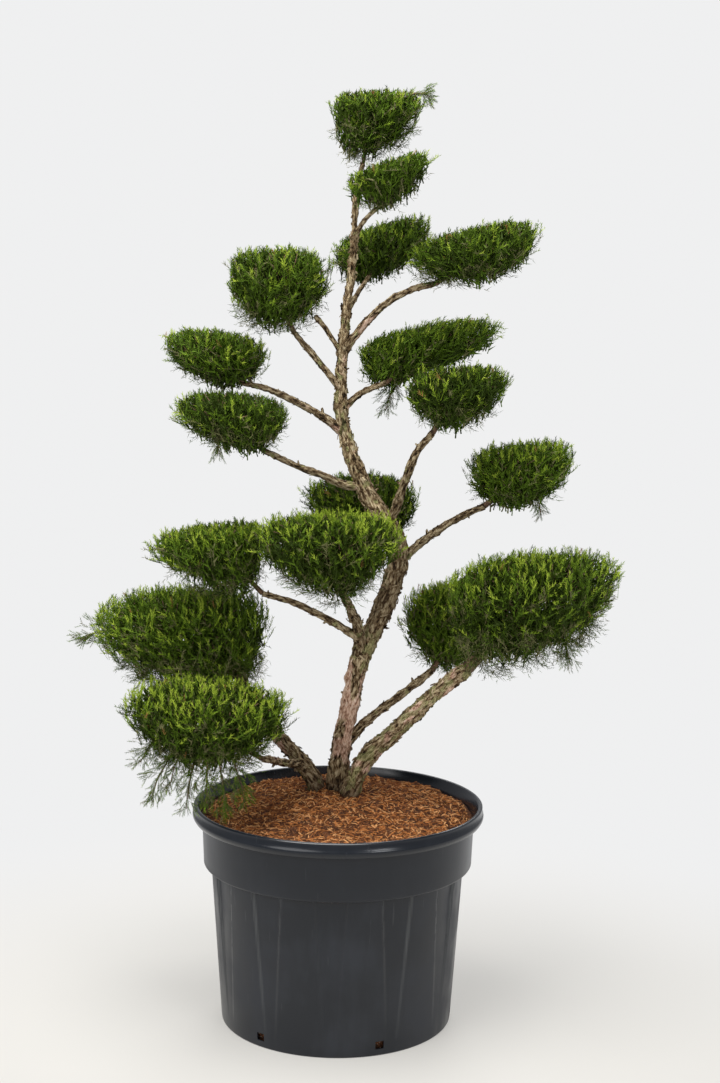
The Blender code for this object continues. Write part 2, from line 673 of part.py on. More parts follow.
# ---------------------------------------------------------------- this plant
def plant_limbs():
    """Trunk, stems and boughs. Each route point is x, y, z and the limb's radius there."""
    return [
        Limb(
            "trunk",
            [
                (-0.001, 0.130, SEAT_TOP, 0.0235),
                (0.002, 0.129, 0.560, 0.0215),
                (0.019, 0.120, 0.658, 0.0198),
                (0.048, 0.105, 0.795, 0.0208),
                (0.095, 0.095, 0.908, 0.0220),
                (0.124, 0.085, 1.014, 0.0212),
                (0.114, 0.080, 1.070, 0.0212),
                (0.076, 0.075, 1.121, 0.0208),
                (0.033, 0.070, 1.210, 0.0164),
                (0.000, 0.070, 1.310, 0.0140),
                (-0.006, 0.070, 1.405, 0.0124),
                (0.001, 0.065, 1.523, 0.0102),
                (0.016, 0.060, 1.673, 0.0072),
                (0.020, 0.050, 1.783, 0.0058),
                (0.022, 0.050, 1.830, 0.0047),
                (0.036, 0.050, 1.874, 0.0040),
            ],
            flare=0.006,
            pad="foliage_01",
        ),
        Limb(
            "stem_right",
            [
                (0.020, 0.072, SEAT_TOP, 0.0195),
                (0.060, 0.066, 0.566, 0.0190),
                (0.117, 0.056, 0.628, 0.0184),
                (0.175, 0.040, 0.690, 0.0174),
                (0.231, 0.020, 0.747, 0.0163),
                (0.277, 0.000, 0.788, 0.0150),
            ],
            flare=0.002,
            pad="foliage_16",
        ),
        Limb(
            "stem_left",
            [
                (-0.050, 0.123, SEAT_TOP, 0.0180),
                (-0.068, 0.121, 0.520, 0.0178),
                (-0.101, 0.120, 0.561, 0.0168),
                (-0.147, 0.120, 0.611, 0.0156),
                (-0.200, 0.125, 0.680, 0.0136),
                (-0.228, 0.132, 0.733, 0.0122),
            ],
            flare=0.002,
            pad="foliage_14",
        ),
        Limb(
            "bough_02",
            [(0.017, 0.056, 1.712, 0.0050), (0.040, 0.036, 1.752, 0.0046), (0.079, 0.005, 1.788, 0.0040)],
            parent="trunk",
            pad="foliage_02",
        ),
        Limb(
            "bough_03",
            [(0.006, 0.062, 1.560, 0.0054), (0.028, 0.094, 1.598, 0.0052), (0.056, 0.150, 1.640, 0.0046)],
            parent="trunk",
            pad="foliage_03",
        ),
        Limb(
            "bough_04",
            [
                (0.000, 0.065, 1.478, 0.0088),
                (0.050, 0.050, 1.539, 0.0084),
                (0.088, 0.035, 1.576, 0.0078),
                (0.140, 0.020, 1.606, 0.0070),
                (0.193, 0.010, 1.620, 0.0062),
            ],
            parent="trunk",
            pad="foliage_04",
        ),
        Limb(
            "bough_05",
            [(-0.003, 0.070, 1.388, 0.0076), (-0.066, 0.060, 1.462, 0.0068), (-0.108, 0.052, 1.511, 0.0060)],
            parent="trunk",
            pad="foliage_05",
        ),
        Limb(
            "bough_05_upper",
            [(0.000, 0.066, 1.458, 0.0056), (-0.040, 0.060, 1.520, 0.0054), (-0.064, 0.055, 1.548, 0.0050)],
            parent="trunk",
            pad="foliage_05",
        ),
        Limb(
            "bough_06",
            [(-0.004, 0.070, 1.345, 0.0074), (0.035, 0.082, 1.380, 0.0066), (0.092, 0.100, 1.404, 0.0054)],
            parent="trunk",
            pad="foliage_06",
        ),
        Limb(
            "bough_07",
            [
                (0.100, 0.078, 1.092, 0.0100),
                (0.120, 0.052, 1.140, 0.0098),
                (0.137, 0.028, 1.197, 0.0088),
                (0.158, 0.000, 1.257, 0.0080),
                (0.192, -0.026, 1.305, 0.0066),
            ],
            parent="trunk",
            pad="foliage_07",
        ),
        Limb(
            "bough_08",
            [
                (0.000, 0.070, 1.300, 0.0096),
                (-0.056, 0.070, 1.336, 0.0086),
                (-0.110, 0.073, 1.364, 0.0074),
                (-0.166, 0.078, 1.388, 0.0066),
                (-0.226, 0.084, 1.401, 0.0060),
            ],
            parent="trunk",
            pad="foliage_08",
        ),
        Limb(
            "bough_09",
            [
                (0.048, 0.072, 1.180, 0.0090),
                (0.005, 0.062, 1.182, 0.0088),
                (-0.040, 0.052, 1.202, 0.0080),
                (-0.103, 0.038, 1.226, 0.0068),
                (-0.172, 0.022, 1.258, 0.0062),
            ],
            parent="trunk",
            pad="foliage_09",
        ),
        Limb(
            "bough_10",
            [
                (0.120, 0.085, 1.002, 0.0102),
                (0.183, 0.090, 1.059, 0.0090),
                (0.249, 0.090, 1.104, 0.0080),
                (0.312, 0.082, 1.137, 0.0072),
            ],
            parent="trunk",
            pad="foliage_10",
        ),
        Limb(
            "bough_11",
            [(0.124, 0.084, 1.026, 0.0105), (0.116, 0.135, 1.050, 0.0094), (0.098, 0.195, 1.070, 0.0080)],
            parent="trunk",
            pad="foliage_11",
        ),
        Limb(
            "bough_12",
            [
                (0.045, 0.106, 0.790, 0.0145),
                (0.038, 0.060, 0.862, 0.0118),
                (0.020, 0.015, 0.915, 0.0100),
                (0.008, -0.022, 0.945, 0.0092),
            ],
            parent="trunk",
            pad="foliage_12",
        ),
        Limb(
            "bough_13",
            [
                (0.040, 0.072, 0.842, 0.0090),
                (-0.004, 0.062, 0.868, 0.0082),
                (-0.050, 0.052, 0.895, 0.0074),
                (-0.110, 0.042, 0.924, 0.0068),
                (-0.172, 0.034, 0.943, 0.0064),
            ],
            parent="bough_12",
            pad="foliage_13",
        ),
        Limb(
            "bough_15",
            [
                (-0.084, 0.121, 0.541, 0.0105),
                (-0.104, 0.086, 0.548, 0.0096),
                (-0.124, 0.044, 0.560, 0.0084),
                (-0.150, -0.010, 0.580, 0.0076),
                (-0.165, -0.040, 0.590, 0.0070),
            ],
            parent="stem_left",
            pad="foliage_15",
        ),
        Limb(
            "bough_17",
            [
                (0.014, 0.124, 0.588, 0.0105),
                (0.065, 0.130, 0.642, 0.0098),
                (0.117, 0.145, 0.681, 0.0090),
                (0.160, 0.158, 0.711, 0.0086),
                (0.208, 0.175, 0.746, 0.0078),
            ],
            parent="trunk",
            pad="foliage_17",
        ),
    ]


def plant_pads():
    """The pads, from the top down.

    Each has the centre of its rim, half its width and depth, its rise over the rim and drop
    under it, the rim's slope, the heel's place in plan, and how square its crown and bowl are.
    """
    return [
        Pad("foliage_01", (0.068, 0.050, 2.000), 0.102, 0.090, 0.030, 0.124, 0.03, (-0.5, 0.0), 2.8, 4.2,
            strays=[(0.176, 0.045, 2.012)]),
        Pad("foliage_02", (0.086, -0.045, 1.852), 0.094, 0.085, 0.024, 0.080, 0.34, (0.2, 0.4), 4.0, 2.8),
        Pad("foliage_03", (0.081, 0.205, 1.702), 0.115, 0.110, 0.058, 0.076, 0.27, (-0.2, -0.4), 2.7, 2.7),
        Pad("foliage_04", (0.271, -0.010, 1.697), 0.147, 0.115, 0.050, 0.074, 0.22, (0.3, 0.1), 2.3, 4.6),
        Pad("foliage_05", (-0.143, 0.052, 1.624), 0.114, 0.105, 0.078, 0.114, 0.00, (-0.1, 0.0), 2.7, 4.4),
        Pad("foliage_06", (0.190, 0.150, 1.480), 0.163, 0.110, 0.060, 0.066, 0.19, (-0.7, -0.3), 2.7, 1.8,
            strays=[(0.092, 0.130, 1.340)]),
        Pad("foliage_07", (0.239, -0.060, 1.407), 0.117, 0.105, 0.050, 0.098, 0.09, (-0.1, 0.2), 2.2, 3.0),
        Pad("foliage_08", (-0.283, 0.105, 1.458), 0.120, 0.105, 0.064, 0.060, -0.10, (0.2, 0.0), 2.4, 3.6),
        Pad("foliage_09", (-0.243, 0.000, 1.342), 0.131, 0.110, 0.050, 0.080, -0.05, (0.4, 0.1), 2.1, 3.2,
            strays=[(-0.268, -0.020, 1.248)]),
        Pad("foliage_10", (0.392, 0.100, 1.206), 0.121, 0.110, 0.078, 0.064, 0.13, (-0.1, 0.0), 3.4, 4.5,
            strays=[(0.438, 0.070, 1.118)]),
        Pad("foliage_11", (0.038, 0.275, 1.119), 0.138, 0.125, 0.074, 0.080, 0.03, (0.4, -0.3), 2.1, 2.8),
        Pad("foliage_12", (-0.030, -0.090, 1.073), 0.162, 0.120, 0.072, 0.145, 0.03, (0.2, 0.4), 3.0, 2.1),
        Pad("foliage_13", (-0.293, 0.020, 1.063), 0.135, 0.120, 0.038, 0.142, 0.14, (0.7, 0.1), 2.5, 2.6),
        Pad("foliage_14", (-0.366, 0.160, 0.838), 0.203, 0.150, 0.104, 0.155, 0.06, (0.7, -0.1), 2.3, 4.2,
            strays=[(-0.588, 0.150, 0.812)]),
        Pad("foliage_15", (-0.278, -0.125, 0.714), 0.184, 0.140, 0.072, 0.142, -0.04, (-0.1, 0.2), 2.2, 3.2,
            strays=[(-0.395, -0.160, 0.530), (-0.320, -0.170, 0.512), (-0.235, -0.185, 0.508)]),
        Pad("foliage_16", (0.420, -0.030, 0.960), 0.192, 0.150, 0.098, 0.168, 0.08, (-0.5, 0.2), 2.4, 4.0,
            strays=[(0.495, -0.060, 0.815)]),
        Pad("foliage_17", (0.255, 0.225, 0.862), 0.116, 0.115, 0.092, 0.122, 0.16, (0.0, -0.3), 2.8, 3.4),
    ]


def main():
    for thing in list(bpy.data.objects):
        bpy.data.objects.remove(thing)
    limbs = plant_limbs()
    pads = plant_pads()
    build_pot()
    build_fill()
    build_limbs(limbs)
    for pad in pads:
        build_pad(pad, limbs, pads)


main()
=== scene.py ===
# %% [markdown]
# # A cloud-pruned juniper in its nursery pot
# The plant is a Pfitzer juniper that a nursery has trained for years as a cloud tree: every
# bough is stripped bare and ends in one clipped pad. The frame already holds plain solids for
# the pot, the bark fill, the limbs and the pads. Each of them is replaced here by a finer
# piece of the same size in the same place, in metres with +Z up.

# %% Load the frame
import json
import math
import random

import bmesh
import bpy
import numpy as np
from mathutils import Matrix, Vector, noise

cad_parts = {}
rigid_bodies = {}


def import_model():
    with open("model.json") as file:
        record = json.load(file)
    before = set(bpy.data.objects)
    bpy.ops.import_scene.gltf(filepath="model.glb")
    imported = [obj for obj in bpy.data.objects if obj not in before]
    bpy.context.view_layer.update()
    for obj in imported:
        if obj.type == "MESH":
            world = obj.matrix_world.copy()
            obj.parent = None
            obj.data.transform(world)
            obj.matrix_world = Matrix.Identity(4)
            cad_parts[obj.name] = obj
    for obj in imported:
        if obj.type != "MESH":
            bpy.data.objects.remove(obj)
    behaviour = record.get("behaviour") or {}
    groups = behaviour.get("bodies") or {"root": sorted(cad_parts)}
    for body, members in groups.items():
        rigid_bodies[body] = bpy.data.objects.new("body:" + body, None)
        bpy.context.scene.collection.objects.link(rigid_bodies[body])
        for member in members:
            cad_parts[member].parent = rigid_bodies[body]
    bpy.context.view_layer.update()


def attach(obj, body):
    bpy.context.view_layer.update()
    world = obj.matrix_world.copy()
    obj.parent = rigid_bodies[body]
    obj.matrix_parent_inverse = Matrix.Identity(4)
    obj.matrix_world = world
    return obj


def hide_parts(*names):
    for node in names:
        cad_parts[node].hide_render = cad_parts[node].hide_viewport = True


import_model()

# %% [markdown]
# The camera comes first, because every later choice is judged through it. It is a long lens
# at eye height, four metres from the plant and tipped a little down, so that the mound in the
# pot shows while the pads are still seen edge on. A small roll makes the verticals lean.

# %% Camera
EYE = Vector((0.040, -3.970, 1.600))
TIP_DOWN = math.radians(7.67)
ROLL = math.radians(0.78)
LENS = 61.5


def linked(name, data):
    """A new object, linked to the scene."""
    item = bpy.data.objects.new(name, data)
    bpy.context.scene.collection.objects.link(item)
    return item


camera = linked("eye", bpy.data.cameras.new("eye"))
camera.data.lens = LENS
turn = Matrix.Rotation(math.pi / 2 - TIP_DOWN, 4, "X") @ Matrix.Rotation(ROLL, 4, "Z")
camera.matrix_world = Matrix.Translation(EYE) @ turn
bpy.context.scene.camera = camera
print("camera:", LENS, "mm")

# %% [markdown]
# Two helpers carry the whole script. `Wire` wraps the output of a node, in a material or in a
# Geometry Nodes tree, so that sums on it can be written as Python sums. `mesh_piece` makes an
# object from arrays of points and faces, and `store` keeps a value for each of its points.

# %% Wires between nodes
class Wire:
    """A node's output that can stand in a sum, and the one way to add any other node."""

    def __init__(self, tree, socket=None):
        self.tree, self.socket = tree, socket

    def node(self, kind, settings=None, inputs=None, output=0):
        node = self.tree.nodes.new(kind)
        for name, value in (settings or {}).items():
            if name == "stops":
                ramp = node.color_ramp.elements
                while len(ramp) < len(value):
                    ramp.new(0.5)
                for stop, (place, colour) in zip(ramp, value):
                    stop.position, stop.color = place, (*colour, 1.0)
            else:
                setattr(node, name, value)
        for name, value in (inputs or {}).items():
            if isinstance(value, Wire):
                self.tree.links.new(value.socket, node.inputs[name])
            else:
                node.inputs[name].default_value = value
        return Wire(self.tree, node.outputs[output])

    def math(self, operation, first, second):
        return self.node("ShaderNodeMath", {"operation": operation}, {0: first, 1: second})

    def __add__(self, other):
        return self.math("ADD", self, other)

    def __sub__(self, other):
        return self.math("SUBTRACT", self, other)

    def __rsub__(self, other):
        return self.math("SUBTRACT", other, self)

    def __mul__(self, other):
        return self.math("MULTIPLY", self, other)

    __radd__ = __add__
    __rmul__ = __mul__

    def span(self, low, high):
        """0 below low, 1 above high, and a smooth step between them."""
        settings = {"interpolation_type": "SMOOTHSTEP"}
        return self.node("ShaderNodeMapRange", settings, {0: self, 1: low, 2: high})

    def blend(self, first, second):
        """Mix two colours by this wire."""
        inputs = {0: self, 6: first, 7: second}
        return self.node("ShaderNodeMix", {"data_type": "RGBA"}, inputs, 2)

    def axis(self, number):
        """One coordinate of this wire's points."""
        return self.node("ShaderNodeSeparateXYZ", {}, {0: self}, number)

    def scaled(self, *sizes):
        """This wire's points, scaled along each axis."""
        return self.node("ShaderNodeMapping", {"vector_type": "POINT"}, {0: self, 3: sizes})

    def noise(self, scale, detail=2.0):
        """Noise over this wire's points."""
        return self.node("ShaderNodeTexNoise", {}, {"Vector": self, "Scale": scale, "Detail": detail})


def rgb(red, green, blue):
    return (red, green, blue, 1.0)


def finish(name, colour, roughness, gloss=0.5):
    """A Principled material, and a wire with which its tree can be added to."""
    material = bpy.data.materials.new(name)
    material.use_nodes = True
    shader = material.node_tree.nodes["Principled BSDF"]
    shader.inputs["Base Color"].default_value = rgb(*colour)
    shader.inputs["Roughness"].default_value = roughness
    shader.inputs["Specular IOR Level"].default_value = gloss
    return material, shader, Wire(material.node_tree)


def feed(shader, **wires):
    """Plug wires into a shader's sockets, with _ for each space in a socket's name."""
    for name, wire in wires.items():
        wire.tree.links.new(wire.socket, shader.inputs[name.replace("_", " ")])


print("a wire's own steps:", [name for name in vars(Wire) if not name.startswith("_")])


# %% Meshes from arrays
def mesh_piece(name, points, faces, material=None, smooth=True, outward=False):
    """An object from points and faces; outward turns the faces of a closed shape to its outside."""
    mesh = bpy.data.meshes.new(name)
    mesh.from_pydata(np.asarray(points).tolist(), [], [list(face) for face in faces])
    if outward:
        shape = bmesh.new()
        shape.from_mesh(mesh)
        bmesh.ops.recalc_face_normals(shape, faces=shape.faces)
        shape.to_mesh(mesh)
        shape.free()
    if smooth:
        mesh.shade_smooth()
    if material is not None:
        mesh.materials.append(material)
    return linked(name, mesh)


def store(mesh, label, kind, values):
    """Keep a value for each point of a mesh, for its material or for a tree."""
    field = "vector" if kind == "FLOAT_VECTOR" else "value"
    mesh.attributes.new(label, kind, "POINT").data.foreach_set(field, np.ravel(values))


def tube_faces(rings, sides, start=0):
    """Faces that wrap rings of points into a tube, with one face over each end."""
    rows = np.arange(rings - 1)[:, None] * sides
    here = np.arange(sides)[None, :]
    after = (here + 1) % sides
    quads = np.stack([rows + here, rows + after, rows + sides + after, rows + sides + here], -1)
    faces = (quads.reshape(-1, 4) + start).tolist()
    first = list(range(start + sides - 1, start - 1, -1))
    last = [start + (rings - 1) * sides + i for i in range(sides)]
    return [*faces, first, last]


def hand_over(piece, slot, *nodes):
    """Let a finished piece ride on the frame in place of the solids that it stands for."""
    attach(piece, "root")
    if nodes:
        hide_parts(*nodes)
    triangles = sum(len(face.vertices) - 2 for face in piece.data.polygons)
    print(piece.name, "triangles:", triangles)


print("faces of a tube of 3 rings and 4 sides:", len(tube_faces(3, 4)))

# %% [markdown]
# Chips, loose bark and juniper shoots all come from Geometry Nodes: a tree scatters points and
# puts small shapes on them. These helpers start and end such a tree, hold the steps that the
# trees share, and run one on a piece. An input is set by its identifier, and the result is
# read back as a plain mesh.

# %% Geometry Nodes helpers
def socket_id(tree, name):
    return next(item.identifier for item in tree.interface.items_tree if item.name == name)


def new_tree(name, **inputs):
    """A Geometry Nodes tree with a geometry in and out, and the named inputs."""
    tree = bpy.data.node_groups.new(name, "GeometryNodeTree")
    tree.interface.new_socket("Geometry", in_out="OUTPUT", socket_type="NodeSocketGeometry")
    tree.interface.new_socket("Geometry", in_out="INPUT", socket_type="NodeSocketGeometry")
    for label, kind in inputs.items():
        label = label.replace("_", " ")
        tree.interface.new_socket(label, in_out="INPUT", socket_type="NodeSocket" + kind)
    entry = tree.nodes.new("NodeGroupInput")
    return tree, {s.name: Wire(tree, s) for s in entry.outputs if s.name}, Wire(tree)


def close_tree(tree, geometry):
    exit_node = tree.nodes.new("NodeGroupOutput")
    tree.links.new(geometry.socket, exit_node.inputs[0])


def run_tree(piece, tree, **values):
    """Evaluate a tree on a piece and give back the plain mesh that results."""
    modifier = piece.modifiers.new(tree.name, "NODES")
    modifier.node_group = tree
    for label, value in values.items():
        modifier[socket_id(tree, label.replace("_", " "))] = value
    graph = bpy.context.evaluated_depsgraph_get()
    mesh = bpy.data.meshes.new_from_object(piece.evaluated_get(graph))
    piece.modifiers.remove(modifier)
    return mesh


def stored_value(wire, kind, name):
    return wire.node("GeometryNodeInputNamedAttribute", {"data_type": kind}, {"Name": name})


def members(wire, collection):
    """The objects of a collection, each to be picked on its own."""
    split = {"Collection": collection, "Separate Children": True, "Reset Children": True}
    return wire.node("GeometryNodeCollectionInfo", {}, split)


def laid_out(wire, material, **inputs):
    """Members picked and placed on points, made real and given one material."""
    inputs = {name.replace("_", " "): value for name, value in inputs.items()}
    instances = wire.node("GeometryNodeInstanceOnPoints", {}, {"Pick Instance": True, **inputs})
    real = wire.node("GeometryNodeRealizeInstances", {}, {"Geometry": instances})
    return wire.node("GeometryNodeSetMaterial", {}, {"Geometry": real, "Material": material})


print("trees so far:", len(bpy.data.node_groups))

# %% [markdown]
# ## The limbs
# Each limb is a route of a few knots with a radius at each, the same as the solids have. A
# Catmull-Rom curve runs smoothly through the knots, and a ring of points is swept along it.

# %% Routes
CURVE_STEPS = 24  # points on a curve between two knots, before they are spaced evenly
SEAT = 0.4803  # where the stems leave the mound
ROUTES = {
    "trunk": [
        (-0.001, 0.130, SEAT, 0.0235), (0.002, 0.129, 0.560, 0.0215), (0.019, 0.120, 0.658, 0.0198),
        (0.048, 0.105, 0.795, 0.0208), (0.095, 0.095, 0.908, 0.0220), (0.124, 0.085, 1.014, 0.0212),
        (0.114, 0.080, 1.070, 0.0212), (0.076, 0.075, 1.121, 0.0208), (0.033, 0.070, 1.210, 0.0164),
        (0.000, 0.070, 1.310, 0.0140), (-0.006, 0.070, 1.405, 0.0124), (0.001, 0.065, 1.523, 0.0102),
        (0.016, 0.060, 1.673, 0.0072), (0.020, 0.050, 1.783, 0.0058), (0.022, 0.050, 1.830, 0.0047),
        (0.036, 0.050, 1.874, 0.0040),
    ],
    "stem_right": [
        (0.020, 0.072, SEAT, 0.0195), (0.060, 0.066, 0.566, 0.0190), (0.117, 0.056, 0.628, 0.0184),
        (0.175, 0.040, 0.690, 0.0174), (0.231, 0.020, 0.747, 0.0163), (0.277, 0.000, 0.788, 0.0150),
    ],
    "stem_left": [
        (-0.050, 0.123, SEAT, 0.0180), (-0.068, 0.121, 0.520, 0.0178), (-0.101, 0.120, 0.561, 0.0168),
        (-0.147, 0.120, 0.611, 0.0156), (-0.200, 0.125, 0.680, 0.0136), (-0.228, 0.132, 0.733, 0.0122),
    ],
    "bough_02": [(0.017, 0.056, 1.712, 0.0050), (0.040, 0.036, 1.752, 0.0046), (0.079, 0.005, 1.788, 0.0040)],
    "bough_03": [(0.006, 0.062, 1.560, 0.0054), (0.028, 0.094, 1.598, 0.0052), (0.056, 0.150, 1.640, 0.0046)],
    "bough_04": [
        (0.000, 0.065, 1.478, 0.0088), (0.050, 0.050, 1.539, 0.0084), (0.088, 0.035, 1.576, 0.0078),
        (0.140, 0.020, 1.606, 0.0070), (0.193, 0.010, 1.620, 0.0062),
    ],
    "bough_05": [
        (-0.003, 0.070, 1.388, 0.0076), (-0.066, 0.060, 1.462, 0.0068), (-0.108, 0.052, 1.511, 0.0060),
    ],
    "bough_05_upper": [
        (0.000, 0.066, 1.458, 0.0056), (-0.040, 0.060, 1.520, 0.0054), (-0.064, 0.055, 1.548, 0.0050),
    ],
    "bough_06": [
        (-0.004, 0.070, 1.345, 0.0074), (0.035, 0.082, 1.380, 0.0066), (0.092, 0.100, 1.404, 0.0054),
    ],
    "bough_07": [
        (0.100, 0.078, 1.092, 0.0100), (0.120, 0.052, 1.140, 0.0098), (0.137, 0.028, 1.197, 0.0088),
        (0.158, 0.000, 1.257, 0.0080), (0.192, -0.026, 1.305, 0.0066),
    ],
    "bough_08": [
        (0.000, 0.070, 1.300, 0.0096), (-0.056, 0.070, 1.336, 0.0086), (-0.110, 0.073, 1.364, 0.0074),
        (-0.166, 0.078, 1.388, 0.0066), (-0.226, 0.084, 1.401, 0.0060),
    ],
    "bough_09": [
        (0.048, 0.072, 1.180, 0.0090), (0.005, 0.062, 1.182, 0.0088), (-0.040, 0.052, 1.202, 0.0080),
        (-0.103, 0.038, 1.226, 0.0068), (-0.172, 0.022, 1.258, 0.0062),
    ],
    "bough_10": [
        (0.120, 0.085, 1.002, 0.0102), (0.183, 0.090, 1.059, 0.0090), (0.249, 0.090, 1.104, 0.0080),
        (0.312, 0.082, 1.137, 0.0072),
    ],
    "bough_11": [(0.124, 0.084, 1.026, 0.0105), (0.116, 0.135, 1.050, 0.0094), (0.098, 0.195, 1.070, 0.0080)],
    "bough_12": [
        (0.045, 0.106, 0.790, 0.0145), (0.038, 0.060, 0.862, 0.0118), (0.020, 0.015, 0.915, 0.0100),
        (0.008, -0.022, 0.945, 0.0092),
    ],
    "bough_13": [
        (0.040, 0.072, 0.842, 0.0090), (-0.004, 0.062, 0.868, 0.0082), (-0.050, 0.052, 0.895, 0.0074),
        (-0.110, 0.042, 0.924, 0.0068), (-0.172, 0.034, 0.943, 0.0064),
    ],
    "bough_15": [
        (-0.084, 0.121, 0.541, 0.0105), (-0.104, 0.086, 0.548, 0.0096), (-0.124, 0.044, 0.560, 0.0084),
        (-0.150, -0.010, 0.580, 0.0076), (-0.165, -0.040, 0.590, 0.0070),
    ],
    "bough_17": [
        (0.014, 0.124, 0.588, 0.0105), (0.065, 0.130, 0.642, 0.0098), (0.117, 0.145, 0.681, 0.0090),
        (0.160, 0.158, 0.711, 0.0086), (0.208, 0.175, 0.746, 0.0078),
    ],
}


def smooth_route(knots, step):
    """Evenly spaced (x, y, z, radius) rows on a Catmull-Rom curve through the knots."""
    knots = np.array(knots)
    ends = [knots[0] * 2 - knots[1]], [knots[-1] * 2 - knots[-2]]
    knots = np.concatenate([ends[0], knots, ends[1]])
    t = np.linspace(0, 1, CURVE_STEPS, endpoint=False)[:, None]
    dense = []
    for a, b, c, d in zip(knots, knots[1:], knots[2:], knots[3:]):
        curve = 2 * b + (c - a) * t + (2 * a - 5 * b + 4 * c - d) * t**2
        dense.append(0.5 * (curve + (3 * b - a - 3 * c + d) * t**3))
    dense = np.concatenate([*dense, knots[-2:-1]])
    along = np.concatenate([[0], np.cumsum(np.linalg.norm(np.diff(dense[:, :3], axis=0), axis=1))])
    want = np.linspace(0, along[-1], max(3, round(along[-1] / step) + 1))
    rows = np.stack([np.interp(want, along, dense[:, i]) for i in range(4)], -1)
    return rows, want


def carried_axes(path):
    """Two cross axes at each point of a path, turning as little as the path lets them."""
    ahead = np.gradient(path, axis=0)
    ahead /= np.linalg.norm(ahead, axis=1)[:, None]
    side = np.cross(ahead[0], (0.13, 0.97, 0.21))
    sides = []
    for direction in ahead:
        side = side - direction * side.dot(direction)
        side = side / np.linalg.norm(side)
        sides.append(side)
    sides = np.array(sides)
    return ahead, sides, np.cross(ahead, sides)


print("limbs:", len(ROUTES))

# %% [markdown]
# Juniper bark peels in long thin strips. Under the strips the young bark is smooth and red;
# over them it is grey, cracked and dotted with lichen. The relief is made in the mesh, so
# that it breaks the outline: stretched noise, cut into steps, gives strips that overlap like
# shingles, and short dead stubs stand where twigs were cut away.

# %% Bark relief
RIDGE = 0.07  # slow swelling round a limb, a share of its radius
SWELL_LENGTH = 0.044  # the length of limb over which that swelling turns
FLARE_REACH = 0.030  # height over the mound in which the root flare dies away
COLLAR_REACH = 0.016  # the same along a bough, for the collar at its base
BARK_STEP = 0.0042  # between the rings of a limb's mesh
STUB_SPACING = 0.070
STUB_SIDES = 7
KNOT_SPACING = 0.047
# Zones on the trunk, each by its middle height and how far up and down it reaches.
BARE_ZONE, MOSSY_ZONE, LICHEN_ZONE, DARK_ZONE = (0.66, 0.20), (0.815, 0.075), (1.36, 0.40), (0.935, 0.150)


def bark_height(across, along, thick):
    """How far the bark stands out, for a point unrolled to (across x2, along) in metres."""
    strip = noise.noise(Vector((across[0] * 85, across[1] * 85, along * 24)))
    fine = noise.noise(Vector((across[0] * 300, across[1] * 300, along * 110 + 7)))
    lump = noise.noise(Vector((across[0] * 42, across[1] * 42, along * 34 + 3)))
    shingle = math.floor(strip * 3.2 + 0.5 * fine + along * 12) - (strip * 3.2 + along * 12)
    return thick * (0.8 * shingle + 1.1 * fine + 1.5 * lump + 0.3)


def near(value, middle, reach):
    """1 at the middle, falling smoothly to 0 at a reach from it."""
    return max(0.0, 1 - ((value - middle) / reach) ** 2) ** 2


def bark_cover(name, height, across, along):
    """How bare, how mossy and how darkened the bark is, each 0 to 1."""
    bare, mossy = {"stem_right": (0.30, 0.54), "stem_left": (0.22, 0.34)}.get(name, (0.16, 0.28))
    if name == "trunk":
        bare = 0.08 + 0.66 * near(height, *BARE_ZONE)
        mossy = 0.12 + 0.70 * near(height, *MOSSY_ZONE) + 0.35 * near(height, *LICHEN_ZONE)
    patch = noise.noise(Vector((across[0] * 48, across[1] * 48, along * 17 + 11)))
    speck = noise.noise(Vector((across[0] * 75, across[1] * 75, along * 45 + 5)))
    # The bark is painted darker over the mound and along one bend of the trunk.
    darkened = 1 - min(max((height - SEAT) / 0.045, 0.0), 1.0)
    if name == "trunk":
        darkened = max(darkened, 0.48 * near(height, *DARK_ZONE))
    bare = min(max(0.5 + (bare - 0.5) * 1.3 + 0.9 * patch, 0.0), 1.0) * (1 - darkened)
    return bare, min(max(0.5 + (mossy - 0.5) * 1.3 + 0.8 * speck, 0.0), 1.0), darkened


def limb_reach(row, along, angle, phase, flare, scars):
    """A limb's reach to one side: its radius, slow swelling, flare or collar, and old scars."""
    ridge = math.sin(3 * angle + phase + 0.35 * along / SWELL_LENGTH)
    knot = math.sin(1.9 * along / SWELL_LENGTH + phase)
    low = (row[2] - SEAT) / FLARE_REACH
    spread = flare * math.exp(-low) * (0.6 + 0.4 * math.sin(4 * angle + 0.6))
    collar = 0.0 if flare else 0.45 * row[3] * math.exp(-along / COLLAR_REACH)
    reach = row[3] * (1 + RIDGE * ridge + 0.03 * knot) + spread + collar
    for place, turned, size in scars:
        off = (angle - turned + math.pi) % math.tau - math.pi
        gone = ((along - place) / (0.7 * row[3])) ** 2 + (off / 0.8) ** 2
        if gone < 4:
            reach += size * row[3] * math.exp(-gone * 1.5)
    return reach


def stub_points(foot, tilt, ahead, size, length, dice):
    """Points of a broken stub, each with how far across and how far out it is."""
    cross = np.cross(tilt, ahead)
    cross /= np.linalg.norm(cross)
    other = np.cross(cross, tilt)
    for reach, width in ((0.0, 1.5), (length * 0.8, 1.0), (length, 0.75)):
        for k in range(STUB_SIDES):
            turn_by = -k * math.tau / STUB_SIDES
            arm = cross * math.cos(turn_by) + other * math.sin(turn_by)
            jag = 1 + (0.25 * dice.uniform(-1, 1) if width < 0.8 else 0)
            yield foot + tilt * reach * jag + arm * size * width, arm * size, reach


